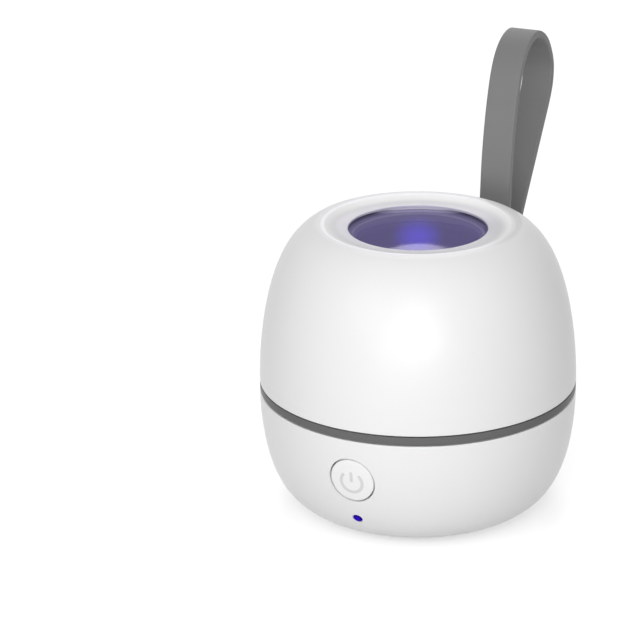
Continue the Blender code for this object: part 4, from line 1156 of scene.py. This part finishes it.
settle(makeLidShell(), "lid", "lid_shell", "lid_shell")
windowPlate, ring = makeWindow()
settle(windowPlate, "lid", "lid_window", "lid_window")
settle(ring, "lid", "window_ring", "window_ring")
settle(makeLiner(), "lid", "lid_liner", "lid_liner")
print("lid made")
settle(makeBaseShell(), "base", "base_shell", "base_shell")
settle(makeCollar(), "base", "collar_ring", "collar_ring")
settle(makeChamber(), "base", "chamber_bowl", "chamber_bowl")
lens, board, packages, domes = makeLamp()
settle(lens, "base", "lamp_lens", "lamp_lens")
settle(board, "base", "lamp_board", "lamp_board")
settle(packages, "base", "uv_led", "uv_led_1", "uv_led_2", "uv_led_3", "uv_led_4")
settle(domes, "base", "uv_led")
settle(makeFootPad(), "base", "foot_pad", "foot_pad")
settle(makePin(), "base", "hinge_pin", "hinge_pin")
socketShell, tongue, contacts = makeSocket()
settle(socketShell, "base", "charging_socket", "charging_socket")
settle(tongue, "base", "charging_socket")
settle(contacts, "base", "charging_socket")
settle(makeIndicator(), "base", "indicator_lens", "indicator_lens")
print("base made")
settle(makeButton(), "button", "power_button", "power_button")
for stroke in makeMark():
    settle(stroke, "button", "power_button")
settle(makeStrap(), "strap", "carry_strap", "carry_strap")
print("button and strap made")

# Inner pieces keep their solids and get a finish
innerFinishes = {
    "lens_seal": "sealRubber", "lamp_connector": "creamPlastic", "main_board": "boardGreen", "control_chip": "chipBlack",
    "charge_chip": "chipBlack", "battery_cell": "foil", "battery_lead_red": "wireRed", "battery_lead_black": "wireBlack",
    "switch_board": "boardGreen", "switch_body": "socketSteel", "indicator_led": "ceramic", "lid_sensor": "chipBlack",
    "latch_magnet": "plating", "lid_magnet": "plating", "switch_plunger": "tongueBlack",
    "case_screw_1": "plating", "case_screw_2": "plating", "case_screw_3": "plating",
}
for node, finish in innerFinishes.items():
    solid = frame["nodes"][node]
    for slot in solid.material_slots:
        slot.material = finishes[finish]
print("inner pieces finished:", len(innerFinishes))

# Floor, light and camera

stage = {
    "size": 6.0, "drop": 0.00005, "shade": 0.5, "white": 1.03,
    "near": 0.06, "far": 0.15, "keep": 0.9, "level": 0.66,
}


def sightOf(tree):
    # 1 where the camera looks, directly or through a reflection or clear plastic
    path = addNode(tree, "ShaderNodeLightPath").outputs
    through = mathNode(tree, "MAXIMUM", path["Is Glossy Ray"], path["Is Transmission Ray"])
    return mathNode(tree, "MAXIMUM", path["Is Camera Ray"], through)


def makeFloor():
    # white to the camera, with the object's shadow kept as a share of the floor's own light
    mesh = bpy.data.meshes.new("floor")
    half = stage["size"] / 2
    low = -stage["drop"]
    corners = [(-half, -half, low), (half, -half, low), (half, half, low), (-half, half, low)]
    mesh.from_pydata(corners, [], [(0, 1, 2, 3)])
    floor = link("floor", mesh)
    material = bpy.data.materials.new("floorPale")
    material.use_nodes = True
    tree = material.node_tree
    tree.nodes.clear()
    plain = addNode(tree, "ShaderNodeBsdfDiffuse", {"Color": (stage["shade"],) * 3 + (1,)})
    keep, level, white = stage["keep"], stage["level"], stage["white"]
    lit = spotMix(tree, (0, 0, 0), stage["near"], stage["far"], (keep,) * 3, (0, 0, 0))
    glow = spotMix(tree, (0, 0, 0), stage["near"], stage["far"], (white - keep * level,) * 3, (white,) * 3)
    seen = addNode(tree, "ShaderNodeBsdfDiffuse", {"Color": lit})
    lift = addNode(tree, "ShaderNodeEmission", {"Color": glow})
    shown = addNode(tree, "ShaderNodeAddShader", {0: seen.outputs[0], 1: lift.outputs[0]})
    mix = addNode(tree, "ShaderNodeMixShader", {0: sightOf(tree), 1: plain.outputs[0], 2: shown.outputs[0]})
    addNode(tree, "ShaderNodeOutputMaterial", {0: mix.outputs[0]})
    mesh.materials.append(material)


lampDistance = 0.9
plainWhite = (1.0, 1.0, 1.0)
lamps = (  # name, turn round the object from the front, rise, shape, width, height, power, colour
    ("glintLight", 31.3, 8.5, "ELLIPSE", 0.42, 0.17, 1.3, plainWhite),
    ("lowLight", 9.3, 3.0, "ELLIPSE", 0.5, 0.5, 2.13, plainWhite),
    ("frontLight", 24.3, 25.0, "ELLIPSE", 0.5, 0.5, 1.93, plainWhite),
    ("leftLight", -15.7, 25.0, "ELLIPSE", 0.5, 0.5, 0.84, plainWhite),
    ("backLight", 204.3, 50.0, "ELLIPSE", 0.5, 0.5, 1.47, plainWhite),
    ("windowGlint", 204.2, 23.6, "ELLIPSE", 0.096, 0.096, 0.15, (0.86, 0.82, 1.0)),
)
ambient = 0.433


def makeLights():
    world = bpy.data.worlds.new("studio")
    bpy.context.scene.world = world
    world.use_nodes = True
    tree = world.node_tree
    tree.nodes.clear()
    level = addNode(tree, "ShaderNodeMapRange", {"Value": sightOf(tree), "To Min": ambient, "To Max": 1.0})
    sky = addNode(tree, "ShaderNodeBackground", {"Color": (1, 1, 1, 1), "Strength": level.outputs[0]})
    addNode(tree, "ShaderNodeOutputWorld", {0: sky.outputs[0]})
    for name, turn, rise, shape, width, height, power, colour in lamps:
        data = bpy.data.lights.new(name, "AREA")
        data.shape = shape
        data.size = width
        data.size_y = height
        data.energy = power
        data.color = colour
        lamp = bpy.data.objects.new(name, data)
        bpy.context.scene.collection.objects.link(lamp)
        level = cos(radians(rise))
        aim = Vector((sin(radians(turn)) * level, -cos(radians(turn)) * level, sin(radians(rise))))
        lamp.location = Vector((0, 0, 0.04)) + aim * lampDistance
        lamp.rotation_euler = aim.to_track_quat("Z", "Y").to_euler()


view = {"place": (0.21586, -0.47906, 0.24072), "turn": 24.26, "pitch": 20.57, "lens": 145.9, "shift": -0.1632}


def makeCamera():
    data = bpy.data.cameras.new("camera")
    data.lens = view["lens"]
    data.sensor_width = 36
    data.shift_x = view["shift"]
    data.clip_start = 0.01
    camera = bpy.data.objects.new("camera", data)
    bpy.context.scene.collection.objects.link(camera)
    camera.location = view["place"]
    camera.rotation_euler = (radians(90 - view["pitch"]), 0, radians(view["turn"]))
    bpy.context.scene.camera = camera


makeFloor()
makeLights()
makeCamera()
bpy.context.scene.view_settings.view_transform = "Standard"
print("studio set")
